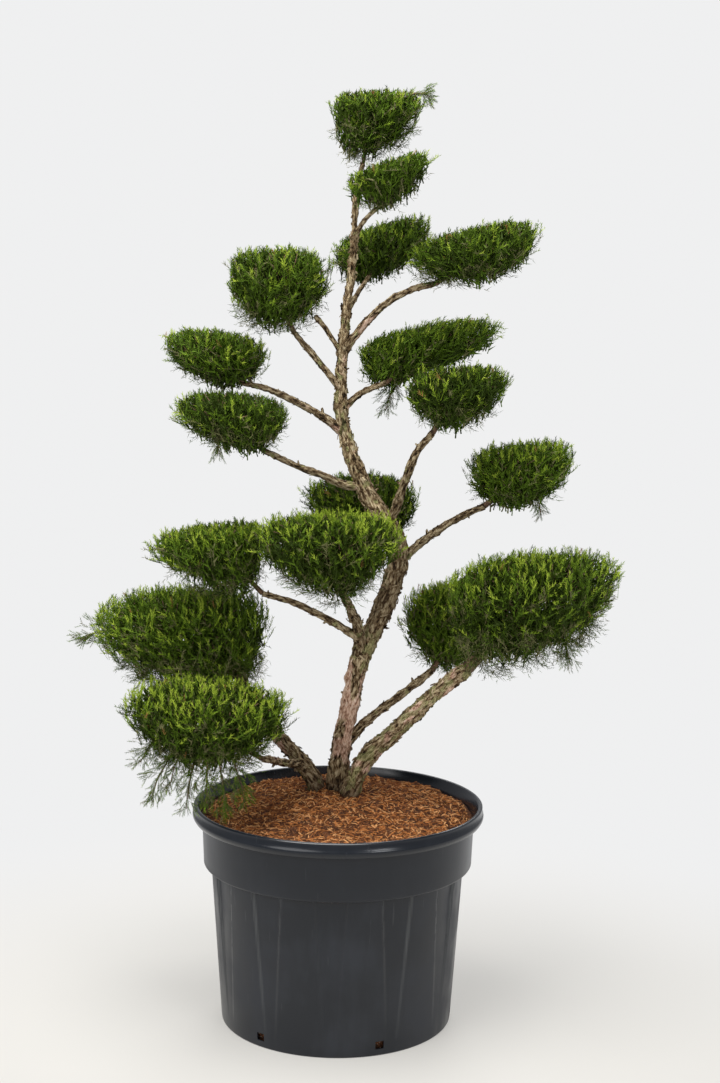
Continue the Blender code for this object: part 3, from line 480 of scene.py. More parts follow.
def limb_piece(name, knots, material):
    """A limb swept along its route, with its bark's relief in the mesh.

    `grain` holds the unrolled place of each point, `run` the way the limb goes there, `cover` how bare, mossy
    and darkened the bark is, and `shaggy` how thick loose plates stand.
    """
    path, along = smooth_route(knots, BARK_STEP)
    ahead, side, up = carried_axes(path[:, :3])
    sides = 44 if knots[0][3] > 0.015 else 26
    phase = random.Random(name).uniform(0, math.tau)
    dice = random.Random(name + "stubs")
    angles = np.arange(sides) * math.tau / sides
    flare = {"trunk": 0.006, "stem_right": 0.002, "stem_left": 0.002}.get(name, 0.0)
    thickness = 0.0021 * min(1.0, (knots[0][3] / 0.016))
    scars = [
        (place, dice.uniform(0, math.tau), dice.uniform(0.12, 0.34))
        for place in np.arange(KNOT_SPACING * 0.5, along[-1], KNOT_SPACING)
    ]
    points, grain, run, cover = [], [], [], []
    for i, row in enumerate(path):
        for angle in angles:
            key = (math.cos(angle) * row[3] + phase, math.sin(angle) * row[3])
            reach = limb_reach(row, along[i], angle, phase, flare, scars)
            reach += bark_height(key, along[i], thickness)
            points.append(row[:3] + (side[i] * math.cos(angle) + up[i] * math.sin(angle)) * reach)
            grain.append((*key, along[i]))
            run.append(ahead[i])
            cover.append(bark_cover(name, row[2], key, along[i]))
    faces = tube_faces(len(path), sides)
    for place in np.arange(STUB_SPACING, along[-1] - 0.02, STUB_SPACING):
        place += dice.uniform(-0.03, 0.03)
        i = min(int(place / BARK_STEP), len(path) - 1)
        angle = dice.uniform(0, math.tau)
        out = side[i] * math.cos(angle) + up[i] * math.sin(angle)
        tilt = out + ahead[i] * dice.uniform(0.1, 0.7)
        tilt /= np.linalg.norm(tilt)
        size = min(0.0028, path[i, 3] * 0.28) * dice.uniform(0.7, 1.2)
        length = path[i, 3] * 0.3 + dice.uniform(0.003, 0.009)
        foot = path[i, :3] + out * path[i, 3] * 0.7
        faces += tube_faces(3, STUB_SIDES, len(points))
        for spot, arm, reach in stub_points(foot, tilt, ahead[i], size, length, dice):
            points.append(spot)
            grain.append((phase + 0.5 + arm[0], arm[1], reach + place))
            run.append(tilt)
            cover.append((0.1, 0.1, 0.0))
    piece = mesh_piece(name + "_bark", points, faces, material, outward=True)
    cover = np.array(cover)
    shaggy = np.clip(1.15 - 1.5 * cover[:, 0], 0, 1)
    for label, values in (("grain", grain), ("run", run), ("cover", cover)):
        store(piece.data, label, "FLOAT_VECTOR", values)
    store(piece.data, "shaggy", "FLOAT", shaggy)
    return piece


relief = [round(1000 * bark_height((0.02, 0.0), place / 100, 0.0021), 1) for place in range(6)]
print("relief at 10 mm steps along thick bark, in mm:", relief)

# %% [markdown]
# The bark's colours come from noise that is stretched along the limb, read from the `grain`
# attribute, where every limb is unrolled straight. Grey-brown strips lie over dark cracks.
# The `cover` attribute says where the strips have peeled to pinkish tan, where lichen makes yellow-green
# patches, and which parts are painted darker: the foot, and one bend of the trunk.

# %% Bark finish
def bark_finish(name, shade):
    material, shader, wire = finish(name, (0.2, 0.14, 0.1), 0.85, 0.2)
    grain = wire.node("ShaderNodeAttribute", {"attribute_name": "grain"}, output=1)
    cover = wire.node("ShaderNodeAttribute", {"attribute_name": "cover"}, output=1)
    bareness, mossiness, darkened = (cover.axis(number) for number in range(3))

    def tones(*stops):
        return [(place, tuple(shade * part for part in colour)) for place, colour in stops]

    strips = grain.scaled(170, 170, 60).noise(1.0, 4.0)
    threads = grain.scaled(560, 560, 140).noise(1.0, 4.0)
    grey_tones = tones(
        (0.40, (0.012, 0.007, 0.002)), (0.46, (0.105, 0.062, 0.028)),
        (0.52, (0.280, 0.200, 0.108)), (0.60, (0.590, 0.480, 0.300)),
    )
    tan_tones = tones(
        (0.37, (0.085, 0.038, 0.020)), (0.44, (0.350, 0.195, 0.125)),
        (0.52, (0.640, 0.425, 0.305)), (0.62, (0.820, 0.660, 0.530)),
    )
    grey = wire.node("ShaderNodeValToRGB", {"stops": grey_tones}, {0: strips * 0.6 + threads * 0.4})
    tan = wire.node("ShaderNodeValToRGB", {"stops": tan_tones}, {0: strips * 0.5 + threads * 0.5})
    bare = (bareness + strips * 0.35).span(0.62, 0.78)
    lichen = (mossiness + threads * 0.40).span(0.72, 0.92)
    moss = threads.span(0.35, 0.65).blend(rgb(0.120, 0.115, 0.040), rgb(0.400, 0.390, 0.170))
    colour = (lichen * 0.7).blend(bare.blend(grey, tan), moss)
    colour = (darkened * 0.70).blend(colour, rgb(0.050, 0.028, 0.016))
    height = strips * 0.5 + threads * 0.5
    bump = wire.node("ShaderNodeBump", {}, {"Strength": 0.8, "Distance": 0.0020, "Height": height})
    feed(shader, Base_Color=colour, Roughness=0.95 - strips * 0.20, Normal=bump)
    return material


stem_bark = bark_finish("stem_bark", 1.0)
bough_bark = bark_finish("bough_bark", 0.80)
STEMS = ("trunk", "stem_right")
limbs = {}
for name, knots in ROUTES.items():
    limbs[name] = limb_piece(name, knots, stem_bark if name in STEMS else bough_bark)
print("limbs swept:", len(limbs))

# %% [markdown]
# Old bark also lifts off in loose plates, which make a limb's edge look ragged. One Geometry
# Nodes tree lays such pieces on any surface. A plate's flat side follows the surface, its
# length follows the `run` attribute, and a random turn and tilt lift an edge.

# %% A tree that lays loose plates
loose_plates, entry, wire = new_tree(
    "loose_plates", Pieces="Collection", Density="Float", Turn="Float", Tilt="Float",
    Small="Float", Large="Float", Seed="Int", Finish="Material",
)
shaggy = stored_value(wire, "FLOAT", "shaggy")
fall = {"Mesh": entry["Geometry"], "Density": entry["Density"] * shaggy, "Seed": entry["Seed"]}
scatter = wire.node("GeometryNodeDistributePointsOnFaces", {}, fall)
facing = Wire(loose_plates, scatter.socket.node.outputs["Normal"])
flat = wire.node("FunctionNodeAlignRotationToVector", {"axis": "Z"}, {"Vector": facing})
settings = {"axis": "X", "pivot_axis": "Z"}
run = stored_value(wire, "FLOAT_VECTOR", "run")
lined = wire.node("FunctionNodeAlignRotationToVector", settings, {"Rotation": flat, "Vector": run})


def any_between(low, high, seed):
    limits = {2: low, 3: high, "Seed": seed}
    return wire.node("FunctionNodeRandomValue", {"data_type": "FLOAT"}, limits, 1)


lift = [any_between(entry["Tilt"] * -1.0, entry["Tilt"], entry["Seed"] + seed) for seed in (1, 2)]
spin = any_between(entry["Turn"] * -1.0, entry["Turn"], entry["Seed"] + 3)
jolt = wire.node("ShaderNodeCombineXYZ", {}, {0: lift[0], 1: lift[1], 2: spin})
shaken = {"Rotation": lined, "Rotate By": wire.node("FunctionNodeEulerToRotation", {}, {0: jolt})}
turned = wire.node("FunctionNodeRotateRotation", {"rotation_space": "LOCAL"}, shaken)
scale = any_between(entry["Small"], entry["Large"], entry["Seed"] + 4)
choice = members(wire, entry["Pieces"])
pieces = laid_out(wire, entry["Finish"], Points=scatter, Instance=choice, Rotation=turned, Scale=scale)
close_tree(loose_plates, pieces)
print("steps that lay a plate:", len(loose_plates.nodes))


# %% Plates on the bark
def flake(name, seed, length, width, thick):
    """A bent flake with ragged ends, lying flat on XY."""
    dice = random.Random(seed)
    points = []
    for station in (-1.0, 0.1, 1.0):
        half = width * (0.45 if station else 1.0) * dice.uniform(0.75, 1.15) / 2
        x = station * length / 2 * dice.uniform(0.9, 1.1)
        drift = dice.uniform(-0.2, 0.2) * width
        height = 0.10 * length * (1 - station * station)
        for y, z in ((-half, 0), (half, 0), (half * 0.8, thick), (-half * 0.8, thick)):
            points.append((x, y + drift, z + height))
    variant = mesh_piece(name, points, tube_faces(3, 4), smooth=False, outward=True)
    bpy.context.scene.collection.objects.unlink(variant)
    return variant


def clear_out(collection):
    """Remove a collection of patterns once what is made from them is real."""
    for pattern in list(collection.objects):
        bpy.data.objects.remove(pattern)
    bpy.data.collections.remove(collection)


plates = bpy.data.collections.new("bark_plates")
for seed in range(6):
    plates.objects.link(flake(f"plate_{seed}", seed + 30, 0.008 + 0.0022 * seed, 0.0085, 0.0018))
PLATED = {"trunk": 7500, "stem_right": 7500, "stem_left": 8000}
for name, limb in limbs.items():
    material = limb.data.materials[0]
    size = min(1.0, ROUTES[name][0][3] / 0.018)
    mesh = run_tree(
        limb, loose_plates, Pieces=plates, Density=float(PLATED.get(name, 6500)), Turn=1.10, Tilt=0.55,
        Small=0.30 * size, Large=1.05 * size, Seed=len(name), Finish=material,
    )
    hand_over(limb, "limb_bark", name)
    hand_over(linked(name + "_plates", mesh), "limb_bark")
clear_out(plates)

# %% [markdown]
# ## The pads
# A pad is clipped to one simple form: a shallow crown over a rim, and a bowl under it that
# draws in to the heel where the bough comes in. The form is worked out from named sizes as in
# the solids, but here on whole arrays of angles and shares at once. The dense body of a pad is
# shallower than the form, most of all in the pads whose underside is open: only old threads
# hang in the rest.

# %% The pad's form
DENSE_DROP = 0.82  # the share of a pad's drop that its dense body fills
OPEN_PADS = {1: 0.76, 2: 0.58, 3: 0.56, 4: 0.60, 5: 0.70, 7: 0.72, 8: 0.58, 10: 0.72}  # the same, if open
DENSE_BOWL = 0.50  # how much straighter the dense body's underside is
CROWN_EDGE = 1.35  # how much squarer its crown is
FORM_SIDES, FORM_RINGS = 48, 14  # of the mesh that spots are scattered on


class Pad:
    """One clipped pad: its rim's centre, half width and depth, rise, drop, lean and heel."""

    def __init__(self, number, centre, wide, deep, rise, drop, lean, heel, crown, bowl, strays=()):
        self.name = f"foliage_{number:02d}"
        self.centre = np.array(centre)
        self.wide, self.deep, self.rise, self.drop, self.lean = wide, deep, rise, drop, lean
        self.heel, self.crown, self.bowl = np.array(heel), crown, bowl
        self.strays = [np.array(stray) for stray in strays]
        self.seed = number
        self.dense_drop = drop * OPEN_PADS.get(number, DENSE_DROP)
        dice = random.Random(self.name)
        self.wobble = (dice.uniform(-0.07, 0.07), dice.uniform(-0.05, 0.05))

    def rim(self, x):
        return self.centre[2] + self.lean * (x - self.centre[0])

    def root(self):
        """The point below the heel that the pad's shoots fan out from."""
        x, y = self.centre[:2] + self.heel * (self.wide, self.deep)
        return np.array([x, y, self.rim(x) - 1.35 * self.drop])

    def reach(self, angle):
        return 1 + self.wobble[0] * np.sin(2 * angle) + self.wobble[1] * np.sin(4 * angle)

    def height(self, x, plan, over, dense=False):
        """Height of the crown or the bowl over the plan points, which are shares of the reach.

        The dense body is shallower under the rim than the space that its threads hang in.
        """
        rim = self.rim(x)
        away = plan - self.heel
        a = np.maximum((away**2).sum(-1), 1e-9)
        b = away @ self.heel
        c = (self.heel**2).sum() - 1
        share = np.clip(a / (-b + np.sqrt(b * b - a * c)), 0, 1)
        size = np.clip(np.linalg.norm(plan, axis=-1), 0, 1)
        crown = self.crown * (CROWN_EDGE if dense else 1.0)
        up = self.rise * (1 - size**crown) ** (1 / crown)
        down = self.drop * (1 - share**self.bowl)
        if dense:
            down = self.dense_drop * (1 - share ** (self.bowl * DENSE_BOWL))
        return rim + np.where(over, up, -down)

    def place(self, plan, over, spread=1.0, dense=False):
        """Points of the form drawn in by spread round the heart."""
        angle = np.arctan2(plan[..., 1], plan[..., 0])
        wide = self.reach(angle)
        x = self.centre[0] + self.wide * wide * plan[..., 0]
        y = self.centre[1] + self.deep * wide * plan[..., 1]
        spot = np.stack([x, y, self.height(x, plan, over, dense)], -1)
        return self.heart() + (spot - self.heart()) * spread

    def heart(self):
        """The middle of the pad's thickness, a little over the heel's side of it."""
        x = self.centre[0] + self.wide * self.heel[0] * 0.3
        y = self.centre[1] + self.deep * self.heel[1] * 0.3
        return np.array([x, y, self.rim(x) - 0.2 * self.drop])

    def holds(self, spots, slack=0.0):
        """Which of the spots lie inside the form."""
        gap = spots[:, :2] - self.centre[:2]
        angle = np.arctan2(gap[:, 1] / self.deep, gap[:, 0] / self.wide)
        wide = self.reach(angle)[:, None]
        plan = gap / (wide * (self.wide, self.deep) + slack)
        inside = np.linalg.norm(plan, axis=1) < 1
        plan = plan * np.where(inside, 1, 0)[:, None]
        top = self.height(spots[:, 0], plan, True) + slack
        foot = self.height(spots[:, 0], plan, False) - slack
        return inside & (spots[:, 2] < top) & (spots[:, 2] > foot)

    def form(self, spread=1.0, dense=True):
        """Points and faces of the whole form, drawn in by spread."""
        angles = np.arange(FORM_SIDES) * math.tau / FORM_SIDES
        ring = np.stack([np.cos(angles), np.sin(angles)], -1)
        shares = np.sin(np.linspace(0.06, 1, FORM_RINGS) * math.pi / 2)
        rows = [self.place(ring * share, True, spread, dense) for share in shares]
        for share in np.linspace(0.96, 0.06, FORM_RINGS):
            rows.append(self.place(self.heel + (ring - self.heel) * share, False, spread, dense))
        return np.concatenate(rows), tube_faces(len(rows), FORM_SIDES)


PADS = [
    Pad(1, (0.068, 0.050, 2.000), 0.102, 0.090, 0.030, 0.124, 0.03, (-0.5, 0.0), 2.8, 4.2,
        [(0.176, 0.045, 2.012)]),
    Pad(2, (0.086, -0.045, 1.852), 0.094, 0.085, 0.024, 0.080, 0.34, (0.2, 0.4), 4.0, 2.8),
    Pad(3, (0.081, 0.205, 1.702), 0.115, 0.110, 0.058, 0.076, 0.27, (-0.2, -0.4), 2.7, 2.7),
    Pad(4, (0.271, -0.010, 1.697), 0.147, 0.115, 0.050, 0.074, 0.22, (0.3, 0.1), 2.3, 4.6),
    Pad(5, (-0.143, 0.052, 1.624), 0.114, 0.105, 0.078, 0.114, 0.00, (-0.1, 0.0), 2.7, 4.4),
    Pad(6, (0.190, 0.150, 1.480), 0.163, 0.110, 0.060, 0.066, 0.19, (-0.7, -0.3), 2.7, 1.8,
        [(0.092, 0.130, 1.340)]),
    Pad(7, (0.239, -0.060, 1.407), 0.117, 0.105, 0.050, 0.098, 0.09, (-0.1, 0.2), 2.2, 3.0),
    Pad(8, (-0.283, 0.105, 1.458), 0.120, 0.105, 0.064, 0.060, -0.10, (0.2, 0.0), 2.4, 3.6),
    Pad(9, (-0.243, 0.000, 1.342), 0.131, 0.110, 0.050, 0.080, -0.05, (0.4, 0.1), 2.1, 3.2,
        [(-0.268, -0.020, 1.248)]),
    Pad(10, (0.392, 0.100, 1.206), 0.121, 0.110, 0.078, 0.064, 0.13, (-0.1, 0.0), 3.4, 4.5,
        [(0.438, 0.070, 1.118)]),
    Pad(11, (0.038, 0.275, 1.119), 0.138, 0.125, 0.074, 0.080, 0.03, (0.4, -0.3), 2.1, 2.8),
    Pad(12, (-0.030, -0.090, 1.073), 0.162, 0.120, 0.072, 0.145, 0.03, (0.2, 0.4), 3.0, 2.1),
    Pad(13, (-0.293, 0.020, 1.063), 0.135, 0.120, 0.038, 0.142, 0.14, (0.7, 0.1), 2.5, 2.6),
    Pad(14, (-0.366, 0.160, 0.838), 0.203, 0.150, 0.104, 0.155, 0.06, (0.7, -0.1), 2.3, 4.2,
        [(-0.588, 0.150, 0.812)]),
    Pad(15, (-0.278, -0.125, 0.714), 0.184, 0.140, 0.072, 0.142, -0.04, (-0.1, 0.2), 2.2, 3.2,
        [(-0.395, -0.160, 0.530), (-0.320, -0.170, 0.512), (-0.235, -0.185, 0.508),
         (-0.420, -0.140, 0.605), (-0.355, -0.165, 0.560), (-0.275, -0.190, 0.530), (-0.195, -0.180, 0.530)]),
    Pad(16, (0.420, -0.030, 0.960), 0.192, 0.150, 0.098, 0.168, 0.08, (-0.5, 0.2), 2.4, 4.0,
        [(0.495, -0.060, 0.815)]),
    Pad(17, (0.255, 0.225, 0.862), 0.116, 0.115, 0.092, 0.122, 0.16, (0.0, -0.3), 2.8, 3.4),
]
print("pads:", len(PADS))

# %% [markdown]
# Shoots stand at even distances on a pad, as if each had fought for its own light. Scattering
# them by Poisson disk does that: no two are nearer than the spacing. A small Geometry Nodes
# tree scatters points on a form and stores the way each faces.

# %% A tree that scatters even spots
even_spots, entry, wire = new_tree("even_spots", Spacing="Float", Seed="Int")
packed = 3.0 * wire.math("POWER", entry["Spacing"], -2.0)
spread = {"Mesh": entry["Geometry"], "Distance Min": entry["Spacing"], "Density Max": packed}
spread["Seed"] = entry["Seed"]
scatter = wire.node("GeometryNodeDistributePointsOnFaces", {"distribute_method": "POISSON"}, spread)
facing = Wire(even_spots, scatter.socket.node.outputs["Normal"])
kept = {"Geometry": scatter, "Name": "facing", "Value": facing}
stored = wire.node("GeometryNodeStoreNamedAttribute", {"data_type": "FLOAT_VECTOR"}, kept)
close_tree(even_spots, wire.node("GeometryNodePointsToVertices", {}, {"Points": stored}))


def scattered(points, faces, spacing, seed):
    """Positions and facings of even spots on a form."""
    base = mesh_piece("form", points, faces, smooth=False, outward=True)
    mesh = run_tree(base, even_spots, Spacing=spacing, Seed=seed)
    spots = np.empty(len(mesh.vertices) * 3)
    mesh.vertices.foreach_get("co", spots)
    facings = np.empty_like(spots)
    mesh.attributes["facing"].data.foreach_get("vector", facings)
    bpy.data.objects.remove(base)
    return spots.reshape(-1, 3), facings.reshape(-1, 3)


trial = scattered(*PADS[0].form(), 0.006, 1)[0]
print("spots on the top pad at 6 mm:", len(trial))

# %% [markdown]
# A juniper shoot is a plume: a thread with shorter threads on it, all covered in scale leaves.
# At this size each thread is a slim three-sided spike of four faces. The upper threads of a
# plume are this year's and the lower ones older and darker, so a plume comes in two parts
# that are placed together but painted apart. A few variants of each kind are enough, since
# they are turned and scaled later.

# %% Shoots
def spike(points, faces, foot, tip, width, twist):
    """Add one three-sided spike."""
    ahead = tip - foot
    side = np.cross(ahead, (0.31, 0.17, 0.94))
    side /= np.linalg.norm(side)
    other = np.cross(ahead, side) / np.linalg.norm(ahead)
    start = len(points)
    for k in range(3):
        angle = twist + k * math.tau / 3
        points.append(foot + (side * math.cos(angle) + other * math.sin(angle)) * width)
    points.append(tip)
    for k in range(3):
        faces.append((start + k, start + (k + 1) % 3, start + 3))
    faces.append((start + 2, start + 1, start))


def shoot(name, seed, threads, width, low, high, length, opening, bend):
    """The older and the newer part of one plume of unit height along +Z."""
    dice = random.Random(seed)
    older, newer = ([], []), ([], [])
    lean = np.array([dice.uniform(-bend, bend), dice.uniform(-bend, bend), 1.0])
    spike(*older, np.zeros(3), lean * 0.85, width * 0.6, 0.0)
    turn_by = dice.uniform(0, math.tau)
    for i in range(threads):
        share = low + (high - low) * i / max(threads - 1, 1) + dice.uniform(-0.03, 0.03)
        turn_by += 2.4 + dice.uniform(-0.4, 0.4)
        out = opening * dice.uniform(0.7, 1.3) * (1.3 - 0.6 * share)
        reach = length * (1.3 - 0.6 * share) * dice.uniform(0.8, 1.2)
        way = np.array([math.cos(turn_by) * out, math.sin(turn_by) * out, 1.0])
        way *= reach / np.linalg.norm(way)
        foot = lean * share
        spike(*(newer if i >= threads * 0.45 else older), foot, foot + way, width, turn_by)
    for part, (points, faces) in (("older", older), ("newer", newer)):
        variant = mesh_piece(f"{name}_{part}", points, faces, smooth=False)
        bpy.context.scene.collection.objects.unlink(variant)
        plumes[part].objects.link(variant)


plumes = {part: bpy.data.collections.new(f"plumes_{part}") for part in ("older", "newer")}
VARIANTS = 6
for seed in range(VARIANTS):
    shoot(f"a_upright_{seed}", seed, 16, 0.019, 0.34, 0.95, 0.20, 0.75, 0.20)
    shoot(f"b_flank_{seed}", seed + 20, 16, 0.018, 0.30, 0.93, 0.23, 0.85, 0.34)
    shoot(f"c_hanging_{seed}", seed + 40, 7, 0.013, 0.25, 0.92, 0.27, 0.75, 0.36)
    shoot(f"d_inner_{seed}", seed + 60, 4, 0.058, 0.20, 0.80, 0.42, 0.90, 0.30)

# %% [markdown]
# Each part of a plume gets a plain green, dealt out by where it stands: fresh yellow-green where the shears
# keep cutting, mid green on the flanks, deep green inside, which stands for older growth and paints the shade
# inside a pad, grey-olive on the hanging threads, and a few orange-brown ones that have died back. Each pad
# also has its own shares of the lighter greens on its crown and on its flank. This is partly because some
# pads have grown more than others since the last cut, and partly painted light and shade, which makes a pad
# lighter where more light falls on it and darker where less does.

# %% Greens
TINTS = [
    ("fresh_tips", (0.350, 0.450, 0.046)),
    ("bright_green", (0.198, 0.296, 0.021)),
    ("mid_green", (0.081, 0.141, 0.010)),
    ("deep_green", (0.030, 0.051, 0.004)),
    ("olive_grey", (0.160, 0.158, 0.066)),
    ("died_back", (0.300, 0.165, 0.050)),
]
FRESH, BRIGHT, MID, DEEP, OLIVE, DEAD = range(6)
# How much fresh growth each pad shows, on its crown and on its flank, where 1 is common; the same shares
# paint light and shade into each pad.
GROWTH_AND_PAINTED_LIGHT = {
    1: (0.62, 1.40), 2: (0.48, 1.55), 3: (0.42, 1.40), 4: (0.40, 1.30), 5: (0.55, 1.40), 6: (0.90, 1.80),
    7: (0.50, 0.72), 8: (0.60, 1.60), 9: (0.10, 1.15), 10: (0.58, 1.80), 11: (0.60, 0.80), 12: (1.15, 1.00),
    13: (0.95, 1.45), 14: (0.80, 1.55), 15: (1.40, 0.95), 16: (0.85, 0.98), 17: (1.50, 1.75),
}
greens = [finish(name, colour, 0.65, 0.12)[0] for name, colour in TINTS]

needle_sprays, entry, wire = new_tree("needle_sprays", Older="Collection", Newer="Collection")
euler = wire.node("FunctionNodeEulerToRotation", {}, {0: stored_value(wire, "FLOAT_VECTOR", "turn")})
joined = wire.node("GeometryNodeJoinGeometry")
variant = stored_value(wire, "INT", "variant")
size = stored_value(wire, "FLOAT", "size")
for part in ("Older", "Newer"):
    choice = members(wire, entry[part])
    tint = stored_value(wire, "INT", part.lower())
    for number, material in enumerate(greens):
        settings = {"data_type": "INT", "operation": "EQUAL"}
        mine = wire.node("FunctionNodeCompare", settings, {2: tint, 3: number})
        painted = laid_out(
            wire, material, Points=entry["Geometry"], Selection=mine, Instance=choice,
            Instance_Index=variant, Rotation=euler, Scale=size,
        )
        needle_sprays.links.new(painted.socket, joined.socket.node.inputs[0])
close_tree(needle_sprays, joined)
print("tints:", len(greens))

# %% [markdown]
# Inside a pad the bough splits into arms, each arm into twigs and each twig into twiglets
# that end just under the shears' surface. Growing them backwards is simplest: even spots on a
# smaller copy of the form are the ends, and each end is joined to the nearest arm.

# %% Twigs
def twig(points, faces, route, radii, sides=4):
    """Add one tapering twig through the points of a route."""
    _, side, up = carried_axes(np.array(route))
    start = len(points)
    for i, spot in enumerate(route):
        for k in range(sides):
            angle = k * math.tau / sides
            arm = side[i] * math.cos(angle) + up[i] * math.sin(angle)
            points.append(spot + arm * radii[i])
    faces.extend(tube_faces(len(route), sides, start))


def bent(first, last, sag, dice):
    """A route of four points from first to last, with a bow in it."""
    bow = np.array([dice.uniform(-1, 1), dice.uniform(-1, 1), -0.6]) * sag
    gap = last - first
    return [first, first + gap * 0.3 + bow * 0.7, first + gap * 0.68 + bow, last]


TWIGLET_RADII = (0.0020, 0.0017, 0.0013, 0.0007)
STRAY_RADII = (0.0024, 0.0019, 0.0014, 0.0008)
CARRIED_BY = {1: "trunk", 14: "stem_left", 16: "stem_right"}
CARRIED_BY.update({n: f"bough_{n:02d}" for n in range(2, 18) if n not in (14, 16)})


def stray_route(pad, stray):
    """From inside the pad out to a stray tip, bowed upwards."""
    root = stray + (pad.centre - stray) * 0.60
    gap = stray - root
    bow = np.array([gap[0] * 0.15, gap[1] * 0.15, 0.012])
    return [root, root + gap * 0.33 + bow, root + gap * 0.70 + bow * 0.8, stray]


def grow_twigs(pad, points, faces):
    """Add the arms, twigs and twiglets of one pad, and its strays."""
    dice = random.Random(pad.name + "twigs")
    tip = np.array(ROUTES[CARRIED_BY[pad.seed]][-1])
    arms = [pad.heart() * 0.6 + tip[:3] * 0.4]
    twig(points, faces, bent(tip[:3], pad.heart(), 0.004, dice), tip[3] * np.array([1, 0.8, 0.6, 0.4]))
    spots, _ = scattered(*pad.form(0.45), 0.055, pad.seed)
    for spot in spots:
        start = tip[:3] + (pad.heart() - tip[:3]) * dice.uniform(0.1, 0.9)
        route = bent(start, spot, 0.010, dice)
        twig(points, faces, route, tip[3] * np.array([0.5, 0.42, 0.34, 0.28]))
        arms.append(spot)
    arms = np.array(arms)
    outer, _ = scattered(*pad.form(0.86), 0.030, pad.seed + 50)
    for spot in outer:
        nearest = arms[np.linalg.norm(arms - spot, axis=1).argmin()]
        route = bent(nearest, spot, 0.008, dice)
        twig(points, faces, route, TWIGLET_RADII, 3)
    for stray in pad.strays:
        twig(points, faces, stray_route(pad, stray), STRAY_RADII)


material, shader, wire = finish("twig_bark", (0.17, 0.10, 0.06), 0.85, 0.25)
place = wire.node("ShaderNodeTexCoord", output=3)
mottle = place.noise(160.0)
feed(shader, Base_Color=mottle.span(0.35, 0.7).blend(rgb(0.09, 0.055, 0.035), rgb(0.25, 0.15, 0.09)))
points, faces = [], []
for pad in PADS:
    grow_twigs(pad, points, faces)
twigs = mesh_piece("pad_twigs", points, faces, material)
hand_over(twigs, "limb_bark")

# %% [markdown]
# Now the shoots are dealt out. Their colours and ways aren't picked one by one: a plant grows
# in tufts, so a shoot shares part of its luck with the others of its tuft, and slow noise
# gives whole masses of tufts something in common. These helpers deal out such luck, and keep
# the shoots out of the bark.

# %% Luck and room
LIMB_ROWS = np.concatenate([smooth_route(knots, 0.01)[0] for knots in ROUTES.values()])
LIMB_GAP = 0.003  # between a shoot and the bark


def clear_of_limbs(spots):
    """Which spots are outside every limb's bark."""
    keep = np.ones(len(spots), bool)
    for row in LIMB_ROWS:
        keep &= np.linalg.norm(spots - row[:3], axis=1) > row[3] + LIMB_GAP
    return keep


def unit(vectors):
    return vectors / np.linalg.norm(vectors, axis=1)[:, None]


def slow_noise(spots, size):
    return np.array([noise.noise(Vector(spot) / size) for spot in spots])


def ease(values, low, high):
    share = np.clip((values - low) / (high - low), 0, 1)
    return share * share * (3 - 2 * share)


def dealt(luck, *shares):
    """Tints picked by luck: pairs of a tint and the share of the shoots that get it."""
    picked = np.full(len(luck), shares[-1][0])
    floor = np.zeros(len(luck))
    for tint, share in shares:
        picked = np.where((luck >= floor) & (luck < floor + share), tint, picked)
        floor = floor + share
    return picked


def gathered(form, spots, spacing, seed):
    """The tuft each spot belongs to: its middle, how far out in it the spot is, and its luck."""
    middles, _ = scattered(*form, spacing, seed)
    gaps = np.linalg.norm(spots[:, None] - middles[None], axis=2)
    mine = gaps.argmin(axis=1)
    edge = np.clip(gaps[np.arange(len(spots)), mine] / (spacing * 0.68), 0, 1)
    fortune = np.random.default_rng(seed).uniform(-0.5, 0.5, (len(middles), 4))
    return middles[mine], edge, fortune[mine]


def even_luck(values):
    """Values spread evenly from 0 to 1 in the order they have."""
    return values.argsort().argsort() / len(values)


print("limb spots to keep clear of:", len(LIMB_ROWS))

# %% [markdown]
# A pad's shoots are gathered as rows of numbers first, and turned into geometry once per pad.
# Each shoot needs the turn that lays its +Z along its way, a size and a variant. A row whose
# middle or tip would stand in the bark is left out.

# %% Spray
def turned_to(yaw, lean, roll):
    """The Euler angles that roll a shoot, lean it over and swing it round."""
    swung = Matrix.Rotation(yaw, 3, "Z") @ Matrix.Rotation(lean, 3, "Y")
    return (swung @ Matrix.Rotation(roll, 3, "Z")).to_euler()


class Spray:
    """Rows of shoots to be placed: foot, way, length, kind and the tints of both parts."""

    def __init__(self):
        self.rows = []

    def add(self, tips, ways, lengths, kinds, older, newer):
        self.rows.append((tips - ways * lengths[:, None], ways, lengths, kinds, older, newer))

    def piece(self, name, dice):
        feet, ways, lengths, kinds, older, newer = (np.concatenate(part) for part in zip(*self.rows))
        reach = ways * lengths[:, None]
        keep = clear_of_limbs(feet + reach * 0.5) & clear_of_limbs(feet + reach)
        cloud = mesh_piece("spots", feet[keep], [], smooth=False)
        ways = ways[keep]
        tilt = np.arccos(np.clip(ways[:, 2], -1, 1))
        spin = dice.uniform(0, math.tau, len(ways))
        swing = np.arctan2(ways[:, 1], ways[:, 0])
        variants = kinds[keep] * VARIANTS + dice.integers(0, VARIANTS, len(ways))
        store(cloud.data, "turn", "FLOAT_VECTOR", [turned_to(*turn) for turn in zip(swing, tilt, spin)])
        store(cloud.data, "size", "FLOAT", lengths[keep])
        for label, values in (("variant", variants), ("older", older[keep]), ("newer", newer[keep])):
            store(cloud.data, label, "INT", values)
        mesh = run_tree(cloud, needle_sprays, Older=plumes["older"], Newer=plumes["newer"])
        bpy.data.objects.remove(cloud)
        mesh.name = name
        return linked(name, mesh)


print("a quarter turn over:", [round(math.degrees(angle)) for angle in turned_to(0, math.pi / 2, 0)])

# %% [markdown]
# All of a pad's shoots have grown away from the heel, so they fan out from a point below it:
# upright on the crown, slanting outwards on the flanks, and drooping only at the very bottom.
# Shoots that share a foot make a tuft. The shears leave the crown level, but on the flanks the
# tufts stand in masses with hollows between them, which slow noise makes.

